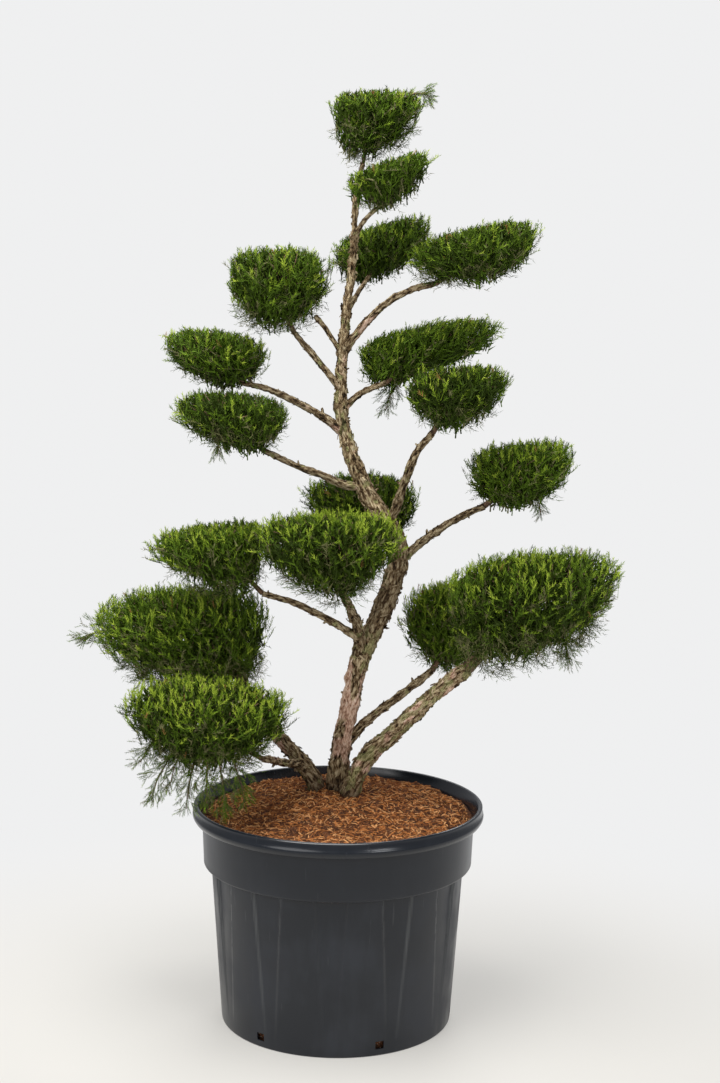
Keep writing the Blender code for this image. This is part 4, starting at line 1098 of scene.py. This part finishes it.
# %% Shoots on the crown and the flanks
SHOOT_SPACING = 0.0115
TUFT_SPACING = 0.027
TUFT_FOOT = 0.040  # how far under the surface the shoots of a tuft come together
MASS_SIZE = 0.055
HOLLOW = 0.015  # how deep the hollows between masses of tufts are on a flank
CROWN_FACING = (0.15, 0.65)  # how far a spot faces up where the crown begins, and where it is full
DROOPING, THINNED = (0.52, 1.10), (0.60, 1.02)  # the shares of the dense drop that these go from and to
LOW_FLANK = 0.40  # the share of the dense drop where the older threads begin


def outer_shoots(pad, spray, dice):
    """The plumes that show: level on the crown, in tufts and hollows on the flanks."""
    form = pad.form()
    spots, facing = scattered(*form, SHOOT_SPACING, pad.seed)
    count = len(spots)
    depth = np.clip((pad.rim(spots[:, 0]) - spots[:, 2]) / pad.dense_drop, 0, 1)
    crown = ease(facing[:, 2], *CROWN_FACING)
    droop = ease(depth, *DROOPING)
    out = unit(facing * (1, 1, 0) + 1e-6)
    fan = unit(spots - pad.root())
    rising = fan * (1 - 0.60 * crown)[:, None] + np.array([0, 0, 1.0]) * (0.10 + 0.80 * crown)[:, None]
    spreading = out * 0.85 + np.array([0, 0, 0.05])
    heading = unit(rising) * (1 - droop)[:, None] + spreading * droop[:, None]
    middles, edge, fortune = gathered(form, spots, TUFT_SPACING, pad.seed + 60)
    heading = unit(heading + (0, 0, 0.10) + fortune[:, :3] * (1.25 - 0.7 * crown)[:, None])
    ways = unit(spots - middles + heading * TUFT_FOOT)
    ways = unit(ways + dice.normal(0, 1, spots.shape) * (0.26 - 0.10 * crown)[:, None])
    mass = slow_noise(spots + 5, MASS_SIZE)
    ragged = np.where(dice.uniform(0, 1, count) < 0.08, 0.007, 0.0)
    inset = dice.uniform(-0.005, 0.005, count) + ragged - (0.014 - 0.008 * crown) * edge**2
    inset -= HOLLOW * (1 - 0.75 * crown) * ease(-mass, 0.0, 0.40)
    tips = spots + ways * (inset + 0.002 - 0.008 * crown)[:, None]
    lengths = dice.uniform(0.040, 0.056, count)
    kept = dice.uniform(0, 1, count) > 0.85 * ease(depth, *THINNED)
    kept &= pad.holds(tips - ways * lengths[:, None], 0.001)
    kinds = np.where(crown > 0.5, 0, 1)
    # Painted shade: shoots at the edge of a tuft and in the hollows between masses draw higher luck, which
    # deals them the darker greens.
    luck = even_luck(0.5 * dice.uniform(0, 1, count) + 0.3 * fortune[:, 3] + 0.35 * edge - 0.2 * mass)
    # Painted light and shade: each pad's shares of the fresh, bright and deep greens on its crown and flank
    # also stand for how much light falls on that pad.
    on_top, on_side = GROWTH_AND_PAINTED_LIGHT[pad.seed]
    top_bright = 0.32 * min(1.0, 0.45 + 0.55 * on_top)
    top_deep = max(0.0, 1 - on_top) * 0.50
    side_deep = max(0.0, 0.16 - 0.40 * (on_side - 1))
    top = dealt(luck, (FRESH, 0.46 * on_top), (BRIGHT, top_bright), (DEEP, top_deep), (MID, 1.0))
    flank = dealt(luck, (FRESH, 0.18 * on_side), (BRIGHT, 0.34 * on_side), (DEEP, side_deep), (MID, 1.0))
    worn = dice.uniform(0, 1, count) < 0.10 + 0.20 * (on_side - 0.75)
    flank = np.where(worn, OLIVE, flank)
    low = dealt(luck, (BRIGHT, 0.22 * on_side), (OLIVE, 0.34), (DEEP, 0.14), (MID, 1.0))
    newer = np.where(crown > 0.4, top, np.where(depth < LOW_FLANK, flank, low))
    newer = np.where(dice.uniform(0, 1, count) < 0.012, DEAD, newer)
    old_top = dealt(luck, (BRIGHT, 0.25 * on_top), (DEEP, 0.20 + side_deep), (MID, 1.0))
    old_side = dealt(luck, (MID, 0.30 * on_side**2), (OLIVE, 0.14 * on_side), (DEEP, 1.0))
    old_low = dealt(luck, (MID, 0.40), (OLIVE, 0.35), (DEEP, 1.0))
    older = np.where(crown > 0.4, old_top, np.where(depth < LOW_FLANK, old_side, old_low))
    spray.add(*(part[kept] for part in (tips, ways, lengths, kinds, older, newer)))


print("shoots on the top pad:", len(scattered(*PADS[0].form(), SHOOT_SPACING, 1)[0]))

# %% [markdown]
# Under a pad, out of the light, only sparse old threads are left. They hang in small fans in
# the part of the form that the dense body leaves open, and those that would stand out beside
# the pad are dropped, since the shears have cut them.

# %% Hanging threads
HANG_SPACING, HANG_TUFT, HANG_FOOT = 0.0090, 0.030, 0.050


def hanging_shoots(pad, spray, dice):
    """The sparse old threads under a pad, which splay outwards and droop in small fans."""
    form = pad.form(dense=False)
    spots, facing = scattered(*form, HANG_SPACING, pad.seed + 30)
    middles, edge, fortune = gathered(form, spots, HANG_TUFT, pad.seed + 61)
    depth = (pad.rim(spots[:, 0]) - spots[:, 2]) / pad.drop
    low = (depth > 0.42) & (facing[:, 2] < 0.1) & (fortune[:, 3] > -0.25)
    low &= dice.uniform(0, 1, len(spots)) > 0.55 * ease(depth, 0.65, 1.0)
    spots, facing, middles, edge, fortune = (part[low] for part in (spots, facing, middles, edge, fortune))
    count = len(spots)
    heading = unit(unit(facing * (1, 1, 0) + 1e-6) * 0.8 + (0, 0, -0.28) + fortune[:, :3] * 0.9)
    ways = unit(unit(spots - middles + heading * HANG_FOOT) + dice.normal(0, 0.15, spots.shape))
    tips = spots + ways * (dice.uniform(-0.008, 0.020, count) - 0.010 * edge**2)[:, None]
    lengths = dice.uniform(0.038, 0.068, count)
    kept = pad.holds(tips - ways * lengths[:, None], 0.005)
    luck = dice.uniform(0, 1, count)
    older = dealt(luck, (DEEP, 0.60), (OLIVE, 0.40))
    newer = dealt(luck, (MID, 0.50), (DEEP, 0.25), (OLIVE, 0.25))
    kinds = np.full(count, 2)
    spray.add(*(part[kept] for part in (tips, ways, lengths, kinds, older, newer)))


print("old threads stand", round(1000 * HANG_SPACING), "mm apart")

# %% [markdown]
# A gap between the outer shoots would show the sky through the whole pad. On the plant the crowded old growth
# closes that view, so smaller copies of the form carry darker shoots too. They are mostly deep green, which
# stands for the older growth and also paints the shade inside the pad.

# %% Inner layers
# Each layer's spread, the spacing of its shoots and their length.
INNER_LAYERS = ((0.86, 0.0096, 0.042), (0.66, 0.0115, 0.050), (0.45, 0.0140, 0.050))


def inner_shoots(pad, spray, dice, spread, spacing, length):
    """One layer of the darker shoots inside a pad."""
    spots, _ = scattered(*pad.form(spread), spacing, pad.seed + 90)
    depth = (pad.rim(spots[:, 0]) - spots[:, 2]) / pad.dense_drop
    low = dice.uniform(0, 1, len(spots)) > 0.88 * ease(depth, 0.50, 0.95)
    spots, depth = spots[low], depth[low]
    ways = unit(unit(spots - pad.root()) + (0, 0, 0.3) + dice.normal(0, 0.3, spots.shape))
    luck = dice.uniform(0, 1, len(spots))
    lengths = length * dice.uniform(0.8, 1.2, len(spots))
    worn = 0.04 + 0.20 * ease(depth, 0.10, 0.60)
    # Painted shade: the inner shoots are mostly deep green, and pads whose flanks are painted lighter get
    # more mid green here too.
    light = 0.20 * GROWTH_AND_PAINTED_LIGHT[pad.seed][1] ** 2
    older = dealt(luck, (OLIVE, worn), (MID, light), (DEEP, 1.0))
    newer = dealt(luck, (OLIVE, worn), (MID, 1.6 * light), (DEEP, 1.0))
    spray.add(spots, ways, lengths, np.full(len(spots), 3), older, newer)


print("inner layers:", len(INNER_LAYERS))

# %% [markdown]
# A few long twigs always escape the shears. Each carries side twigs to the left and the right,
# shorter towards its tip, and loose plumes along all of them.

# %% Strays
SIDE_TWIGS = 7


def stray_shoots(pad, spray, dice):
    """Plumes along the few twigs that the shears missed, and along their side twigs."""
    for stray in pad.strays:
        route = np.array(stray_route(pad, stray))
        routes = [route]
        reach = min(np.linalg.norm(route[0] - route[-1]), 0.11)
        for i, share in enumerate(np.linspace(0.35, 0.92, SIDE_TWIGS) * (len(route) - 1)):
            step = min(int(share), len(route) - 2)
            ahead = route[step + 1] - route[step]
            foot = route[step] + ahead * (share - step)
            ahead /= np.linalg.norm(ahead)
            side = np.cross(ahead, (0.2, -1.0, 0.1)) * (-1) ** i
            way = ahead + side * 0.75 + dice.normal(0, 0.15, 3)
            long = reach * (0.44 - 0.11 * share)
            bend = foot + way * long * 0.5
            routes.append(np.array([foot, bend, bend + (way + ahead * 0.5) * long * 0.5]))
        for number, route in enumerate(routes):
            span = np.linalg.norm(route[0] - route[-1])
            count = int(span / (0.0035 if number else 0.0030))
            share = dice.uniform(0.10, 1.0, count) * (len(route) - 1)
            step = np.minimum(share.astype(int), len(route) - 2)
            spots = route[step] + (route[step + 1] - route[step]) * (share - step)[:, None]
            along = unit(route[step + 1] - route[step])
            ways = unit(along + dice.normal(0, 0.32, (count, 3)))
            lengths = dice.uniform(0.022, 0.036, count) * (0.8 if number else 1.0)
            luck = dice.uniform(0, 1, count)
            older = dealt(luck, (MID, 0.6), (OLIVE, 0.4))
            newer = dealt(luck, (BRIGHT, 0.20), (MID, 0.5), (OLIVE, 0.15), (DEEP, 1.0))
            tips = spots + ways * lengths[:, None] * 0.7
            spray.add(tips, ways, lengths, np.full(count, 1), older, newer)


print("strays:", sum(len(pad.strays) for pad in PADS))

# %% [markdown]
# Every pad draws its own luck from its number, so a change to one pad leaves the others alone.
# The patterns of the plumes are removed at the end, since their copies are real by then.

# %% All the pads
total = 0
for pad in PADS:
    dice = np.random.default_rng(pad.seed)
    spray = Spray()
    outer_shoots(pad, spray, dice)
    hanging_shoots(pad, spray, dice)
    for layer in INNER_LAYERS:
        inner_shoots(pad, spray, dice, *layer)
    stray_shoots(pad, spray, dice)
    needles = spray.piece(pad.name + "_needles", dice)
    hand_over(needles, "juniper_foliage", pad.name)
    total += len(needles.data.polygons)
for collection in plumes.values():
    clear_out(collection)
print("needle faces in all:", total)

# %% [markdown]
# ## The pot
# A big nursery pot is one shell of black plastic, three or four millimetres thick. It is a
# turned shape except for its flutes, so it is swept as rings whose radius dips inside each
# flute. The flutes are wide at the top and narrow to nothing near the foot.

# %% Pot shape
POT_HEIGHT, RIM_RADIUS, RIM_CREST, RIM_LIP = 0.486, 0.3205, 0.3135, 0.453
BAND_TOP, BAND_FOOT_RADIUS, BAND_FOOT = 0.2990, 0.2955, 0.355
WALL_TOP, FOOT_RADIUS, WALL = 0.2790, 0.2545, 0.0035
FLUTES, FLUTE_TURN, FLUTE_DEPTH, FLUTE_FOOT = 12, math.radians(-2.0), 0.0055, 0.030
FLUTE_TOP = BAND_FOOT - 0.004
HALF_TOP, HALF_FOOT = math.radians(7.4), math.radians(2.8)
COLUMNS = 480


def flute_place(angle, height):
    """How far up its flute a spot is, the flute's half width there, and how far off its middle."""
    up = np.clip((height - FLUTE_FOOT) / (BAND_FOOT - FLUTE_FOOT), 0, 1)
    pitch = math.tau / FLUTES
    off = (angle - FLUTE_TURN + pitch / 2) % pitch - pitch / 2
    return up, HALF_FOOT + (HALF_TOP - HALF_FOOT) * up, off


def flute_depth(angle, height):
    """How far the wall is pressed in at an angle and height."""
    up, half, off = flute_place(angle, height)
    edge = np.clip((half - np.abs(off)) / math.radians(1.1) + 0.5, 0, 1)
    return FLUTE_DEPTH * up**0.7 * edge * edge * (3 - 2 * edge)


def arc(centre, radius, start, end, count):
    """Points of an arc in the outline, by degrees."""
    angles = np.radians(np.linspace(start, end, count))
    return [(centre[0] + radius * math.cos(a), centre[1] + radius * math.sin(a)) for a in angles]


def wall_radius(height):
    return FOOT_RADIUS + (WALL_TOP - FOOT_RADIUS) * height / BAND_FOOT


outline = [(0.0001, 0.0)]
outline += [(FOOT_RADIUS * share, 0.0) for share in (0.3, 0.6, 0.9, 0.975)]
outline += arc((FOOT_RADIUS - 0.004, 0.004), 0.004, -80, 0, 5)
outline += [(wall_radius(z), z) for z in np.linspace(0.012, BAND_FOOT - 0.006, 46)]
outline += arc((BAND_FOOT_RADIUS - 0.006, BAND_FOOT + 0.003), 0.006, -85, 0, 7)
for share in (0.3, 0.6, 1):
    radius = BAND_FOOT_RADIUS + (BAND_TOP - BAND_FOOT_RADIUS) * share
    outline.append((radius, BAND_FOOT + 0.006 + 0.087 * share))
outline += arc((RIM_RADIUS - 0.0060, RIM_LIP + 0.002), 0.002, -140, -20, 5)
outline += arc((RIM_RADIUS - 0.011, RIM_LIP + 0.011), 0.011, -30, 40, 7)
outline += arc((RIM_CREST - 0.0005, POT_HEIGHT - 0.006), 0.006, 38, 150, 9)
outline += [(BAND_TOP - WALL + 0.003, RIM_LIP + 0.008), (BAND_TOP - WALL, RIM_LIP - 0.004)]
outline += [(BAND_FOOT_RADIUS - WALL, BAND_FOOT + 0.004)]
outline += [(wall_radius(z) - WALL, z) for z in np.linspace(BAND_FOOT - 0.006, 0.010, 14)]
outline += [(FOOT_RADIUS - WALL - 0.004, 0.005), (0.0001, 0.005)]

angles = np.arange(COLUMNS) * math.tau / COLUMNS
rows = []
for radius, height in outline:
    pressed = flute_depth(angles, height) if radius > 0.2 and 0.02 < height < FLUTE_TOP else 0.0
    reach = radius - pressed
    rows.append(np.stack([reach * np.sin(angles), -reach * np.cos(angles), np.full(COLUMNS, height)], -1))
pot = mesh_piece("pot_shell", np.concatenate(rows), tube_faces(len(rows), COLUMNS), outward=True)
print("pot rings:", len(rows))

# %% [markdown]
# Square drain holes are punched through the wall close over the floor. One Boolean cuts all
# of them, with a single cutter made of six short bars.

# %% Drain holes
DRAINS, DRAIN_TURN, DRAIN_HEIGHT = 6, math.radians(-38.0), 0.024
cut_points, cut_faces = [], []
for drain in range(DRAINS):
    angle = DRAIN_TURN + drain * math.tau / DRAINS
    out = np.array([math.sin(angle), -math.cos(angle), 0])
    across = np.array([math.cos(angle), math.sin(angle), 0])
    start = len(cut_points)
    for reach in (-0.020, 0.020):
        for x, z in ((-1, -1), (1, -1), (1, 1), (-1, 1)):
            up = np.array([0, 0, DRAIN_HEIGHT + z * 0.0085])
            cut_points.append(out * (FOOT_RADIUS + reach) + across * x * 0.0095 + up)
    cut_faces += tube_faces(2, 4, start)
cutter = mesh_piece("drain_cutter", cut_points, cut_faces, smooth=False, outward=True)
cut = pot.modifiers.new("drains", "BOOLEAN")
cut.object, cut.operation, cut.solver = cutter, "DIFFERENCE", "EXACT"
graph = bpy.context.evaluated_depsgraph_get()
drained = bpy.data.meshes.new_from_object(pot.evaluated_get(graph))
pot.modifiers.remove(cut)
pot.data = drained
bpy.data.objects.remove(cutter)
print("pot faces with the drains cut:", len(drained.polygons))

# %% [markdown]
# A thin pale line is painted along the edge of each flute that is turned furthest sideways, as a painted
# highlight where that edge's wall faces the front, and a fainter one along the other edge. An attribute on
# the points marks those lines.

# %% Painted highlights on the flute edges
places = np.empty(len(drained.vertices) * 3)
drained.vertices.foreach_get("co", places)
x, y, z = places.reshape(-1, 3).T
turned = np.arctan2(x, -y)
up, half, off = flute_place(turned, z)
middle = turned - off
far = off * np.sign(np.sin(middle)) > 0
line = np.exp(-(((np.abs(off) - half) / math.radians(0.6)) ** 2))
worn = line * np.where(far, 1.0, 0.25) * np.clip(np.abs(np.sin(middle)) * 2, 0, 1)
worn = worn * up**0.5 * (z < FLUTE_TOP)
store(drained, "worn", "FLOAT", worn)
print("worn points:", int((worn > 0.5).sum()))

# %% [markdown]
# The plastic is charcoal rather than black, with a soft shine. Handling has left faint vertical scuffs, and
# dust has dried on it in cloudy patches. The band and the rim take less of that pale tone, as painted shade,
# so they are painted darker than the wall.

# %% Pot finish
material, shader, wire = finish("black_plastic", (0.016, 0.018, 0.021), 0.42, 0.45)
place = wire.node("ShaderNodeTexCoord", output=3)
scuffs = place.scaled(1.0, 1.0, 0.18).noise(42.0, 6.0)
scratches = place.scaled(1.0, 1.0, 0.05).noise(150.0, 1.0)
height = place.axis(2)
# Painted shade: above the band's foot the pale tone is cut to 30%, so the band and the rim are darker than
# the wall.
band = height.span(BAND_FOOT - 0.02, BAND_FOOT + 0.02)
dust_and_band_shade = (place.noise(7.0, 4.0) * 0.7 + scuffs * 0.3).span(0.40, 0.72) * (1.0 - band * 0.7)
colour = dust_and_band_shade.blend(rgb(0.0060, 0.0082, 0.0130), rgb(0.0205, 0.0235, 0.0310))
colour = (scratches.span(0.72, 0.78) * 0.18).blend(colour, rgb(0.10, 0.105, 0.11))
# Painted highlight: pale grey lines along the flute edges, broken up by the scuffs.
edge_highlight = wire.node("ShaderNodeAttribute", {"attribute_name": "worn"}, output=2)
colour = (edge_highlight * (0.10 + scuffs * 0.9)).blend(colour, rgb(0.120, 0.125, 0.125))
relief = place.noise(260.0) * 0.5 + scuffs * 0.5
bump = wire.node("ShaderNodeBump", {}, {"Strength": 0.25, "Distance": 0.0006, "Height": relief})
rolled = height.span(RIM_LIP - 0.004, RIM_LIP)
feed(shader, Base_Color=colour, Roughness=0.30 + dust_and_band_shade * 0.28 - rolled * 0.10, Normal=bump)
pot.data.materials.clear()
pot.data.materials.append(material)
pot.data.shade_smooth()
pot.data.set_sharp_from_angle(angle=math.radians(38))
hand_over(pot, "pot_plastic", "pot")

# %% [markdown]
# ## The bark fill
# The stems stand in a mound of composted bark and coir. Under the loose pieces lies a bumpy
# mound, and Geometry Nodes scatters chips and fibres on it.

# %% Mound
FILL_EDGE, FILL_CREST, SEAT_RADIUS = 0.459, 0.480, 0.090
MOUND = (0.005, 0.105)


def fill_height(x, y):
    """Height of the mound, which falls from the seat of the stems to the pot's wall."""
    away = math.hypot(x - MOUND[0], y - MOUND[1]) - SEAT_RADIUS
    ripple = 0.0035 * math.sin(31 * x + 1.3) * math.cos(27 * y) * min(max(away, 0) / 0.04, 1.0)
    fall = min(max(away, 0) / 0.22, 1.0)
    lumps = noise.noise(Vector((x * 60, y * 60, 0.3))) * 0.0028
    lumps += noise.noise(Vector((x * 190, y * 190, 4))) * 0.0015
    return FILL_CREST + (FILL_EDGE - FILL_CREST) * fall * fall * (3 - 2 * fall) + ripple + lumps - 0.003


outer = BAND_TOP - WALL + 0.0012
rings, around = 110, 260
turns = [step * math.tau / around for step in range(around)]
points = []
for ring in range(1, rings + 1):
    for angle in turns:
        x, y = outer * ring / rings * math.cos(angle), outer * ring / rings * math.sin(angle)
        points.append((x, y, fill_height(x, y)))
deep = wall_radius(0.01) - WALL - FLUTE_DEPTH
narrow = wall_radius(0.34) - WALL - FLUTE_DEPTH - 0.001
for reach, height in ((BAND_FOOT_RADIUS - WALL - 0.001, BAND_FOOT + 0.012), (narrow, 0.34), (deep, 0.006)):
    points += [(reach * math.cos(angle), reach * math.sin(angle), height) for angle in turns]
faces = tube_faces(rings + 3, around)
mound = mesh_piece("bark_mound", points, faces, outward=True)
material, shader, wire = finish("damp_compost", (0.10, 0.04, 0.018), 0.95, 0.2)
place = wire.node("ShaderNodeTexCoord", output=3)
crumbs = place.noise(240.0, 5.0)
colour = crumbs.span(0.35, 0.7).blend(rgb(0.045, 0.020, 0.010), rgb(0.200, 0.075, 0.030))
grit = wire.node("ShaderNodeTexVoronoi", {}, {"Vector": place, "Scale": 190.0})
below = 1.0 - place.axis(2).span(0.36, 0.40)
colour = ((1.0 - grit.span(0.10, 0.30)) * below).blend(colour, rgb(0.50, 0.44, 0.36))
bump = wire.node("ShaderNodeBump", {}, {"Strength": 0.9, "Distance": 0.002, "Height": crumbs})
feed(shader, Base_Color=colour, Normal=bump)
mound.data.materials.append(material)
hand_over(mound, "bark_mulch", "bark_fill")

# %% [markdown]
# A chip is a thin bent flake, a fibre is a long thin curl. Both are laid on the mound by the tree that laid
# the loose plates on the bark, but turned freely, one colour at a time.

# %% Chips and fibres
loose = bpy.data.collections.new("loose_chips")
for seed in range(5):
    loose.objects.link(flake(f"chip_{seed}", seed, 0.011 + 0.001 * seed, 0.0052, 0.0012))
for seed in range(3):
    loose.objects.link(flake(f"fibre_{seed}", seed + 9, 0.020, 0.0016, 0.0009))

bed_rings = int(rings * 0.975)
bed = mesh_piece("litter_bed", points[: bed_rings * around], faces[: (bed_rings - 1) * around])
bed.data.flip_normals()
store(bed.data, "run", "FLOAT_VECTOR", np.tile((1.0, 0.0, 0.0), bed_rings * around))
store(bed.data, "shaggy", "FLOAT", np.ones(bed_rings * around))
CHIP_COLOURS = [
    ("chip_rust", (0.470, 0.180, 0.052), 9000),
    ("chip_umber", (0.230, 0.080, 0.026), 9000),
    ("chip_tan", (0.680, 0.350, 0.140), 6000),
    ("chip_dark", (0.085, 0.034, 0.016), 5000),
]
for number, (name, colour, density) in enumerate(CHIP_COLOURS):
    chip_finish = finish(name, colour, 0.9, 0.2)[0]
    mesh = run_tree(
        bed, loose_plates, Pieces=loose, Density=float(density), Turn=math.pi, Tilt=0.55,
        Small=0.55, Large=1.35, Seed=number + 3, Finish=chip_finish,
    )
    hand_over(linked(name + "s", mesh), "bark_mulch")
bpy.data.objects.remove(bed)
clear_out(loose)

# %% [markdown]
# ## The studio
# The plant stands on a pale floor that curves up into a pale wall all round it, so that no horizon shows from
# any side. Near the pot the floor is half real, where it takes the shadow, and half a painted glow that
# lightens that shadow. The glow is painted darker towards the pot's front as painted shade, and further out
# the floor glows evenly. The far part is hidden from bounced light: a room that is bright on all sides would
# wash the shade out of the foliage. The light comes from large soft lamps, the strongest of them overhead.

# %% Cove
FLOOR_GLOW = (0.865, 0.868, 0.872)
NEAR_SHADE_GLOW = (0.755, 0.738, 0.700)
COVE_SIDES = 96


def cove(name, outline, material):
    """A turned sheet without end faces."""
    angles = np.arange(COVE_SIDES) * math.tau / COVE_SIDES
    x, y = np.cos(angles), np.sin(angles)
    rows = [np.stack([r * x, r * y, np.full(COVE_SIDES, z)], -1) for r, z in outline]
    return mesh_piece(name, np.concatenate(rows), tube_faces(len(rows), COVE_SIDES)[:-2], material)


bend = [(5.0 + 5.0 * math.sin(a), 5.0 - 5.0 * math.cos(a)) for a in np.linspace(0, math.pi / 2, 16)]
material, shader, wire = finish("pale_floor", (0.670, 0.652, 0.615), 0.6, 0.2)
place = wire.node("ShaderNodeTexCoord", output=3)
x, y = place.axis(0), place.axis(1)
reach = wire.math("POWER", x * x + y * y, 0.5)
# Painted shade and light: the glow is darker towards the pot's front, and where it is mixed half in near the
# pot it lightens the pot's shadow.
floor_shade_glow = wire.math("MAXIMUM", (y * 0.8 + reach).span(-0.1, 2.4), reach.span(1.2, 2.8))
floor_shade_glow = floor_shade_glow.blend(rgb(*NEAR_SHADE_GLOW), rgb(*FLOOR_GLOW))
glow = wire.node("ShaderNodeEmission", {}, {"Color": floor_shade_glow, "Strength": 1.0})
surface = Wire(wire.tree, shader.outputs[0])
mixed = wire.node("ShaderNodeMixShader", {}, {0: reach.span(0.45, 1.7) * 0.5 + 0.5, 1: surface, 2: glow})
wire.tree.links.new(mixed.socket, wire.tree.nodes["Material Output"].inputs["Surface"])
near_floor = cove("near_floor", [(0.001, 0.0), (1.0, 0.0), (3.0, 0.0)], material)

material = bpy.data.materials.new("far_glow")
material.use_nodes = True
wire = Wire(material.node_tree)
glow = wire.node("ShaderNodeEmission", {}, {"Color": rgb(*FLOOR_GLOW), "Strength": 1.0})
wire.tree.links.new(glow.socket, wire.tree.nodes["Material Output"].inputs["Surface"])
far_cove = cove("far_cove", [(3.0, 0.0), *bend, (10.0, 9.0)], material)
far_cove.visible_diffuse = far_cove.visible_glossy = far_cove.visible_shadow = False
print("stage:", near_floor.name, far_cove.name)


# %% Lights
def soft_lamp(name, place, aim, size, watts, colour):
    lamp = linked(name, bpy.data.lights.new(name, "AREA"))
    lamp.data.shape = "DISK"
    lamp.data.size, lamp.data.energy, lamp.data.color = size, watts, colour
    lamp.location = place
    lamp.rotation_euler = (Vector(aim) - Vector(place)).to_track_quat("-Z", "Y").to_euler()


soft_lamp("overhead", (-0.5, -0.6, 4.7), (0, 0, 1.0), 3.2, 225, (1.0, 0.99, 0.97))
soft_lamp("front_left", (-2.6, -3.6, 3.1), (0, 0, 0.9), 3.2, 75, (1.0, 0.99, 0.98))
soft_lamp("front_right", (2.6, -3.8, 2.3), (0, 0, 0.7), 1.6, 40, (0.97, 0.98, 1.0))
soft_lamp("behind", (0.5, 3.6, 3.4), (0, 0, 1.0), 2.2, 60, (1.0, 1.0, 1.0))
world = bpy.data.worlds.new("sky")
world.use_nodes = True
background = world.node_tree.nodes["Background"]
background.inputs["Color"].default_value = rgb(0.95, 0.97, 1.0)
background.inputs["Strength"].default_value = 0.42
bpy.context.scene.world = world
bpy.context.scene.view_settings.view_transform = "Standard"
print("lamps:", len(bpy.data.lights))

# %% [markdown]
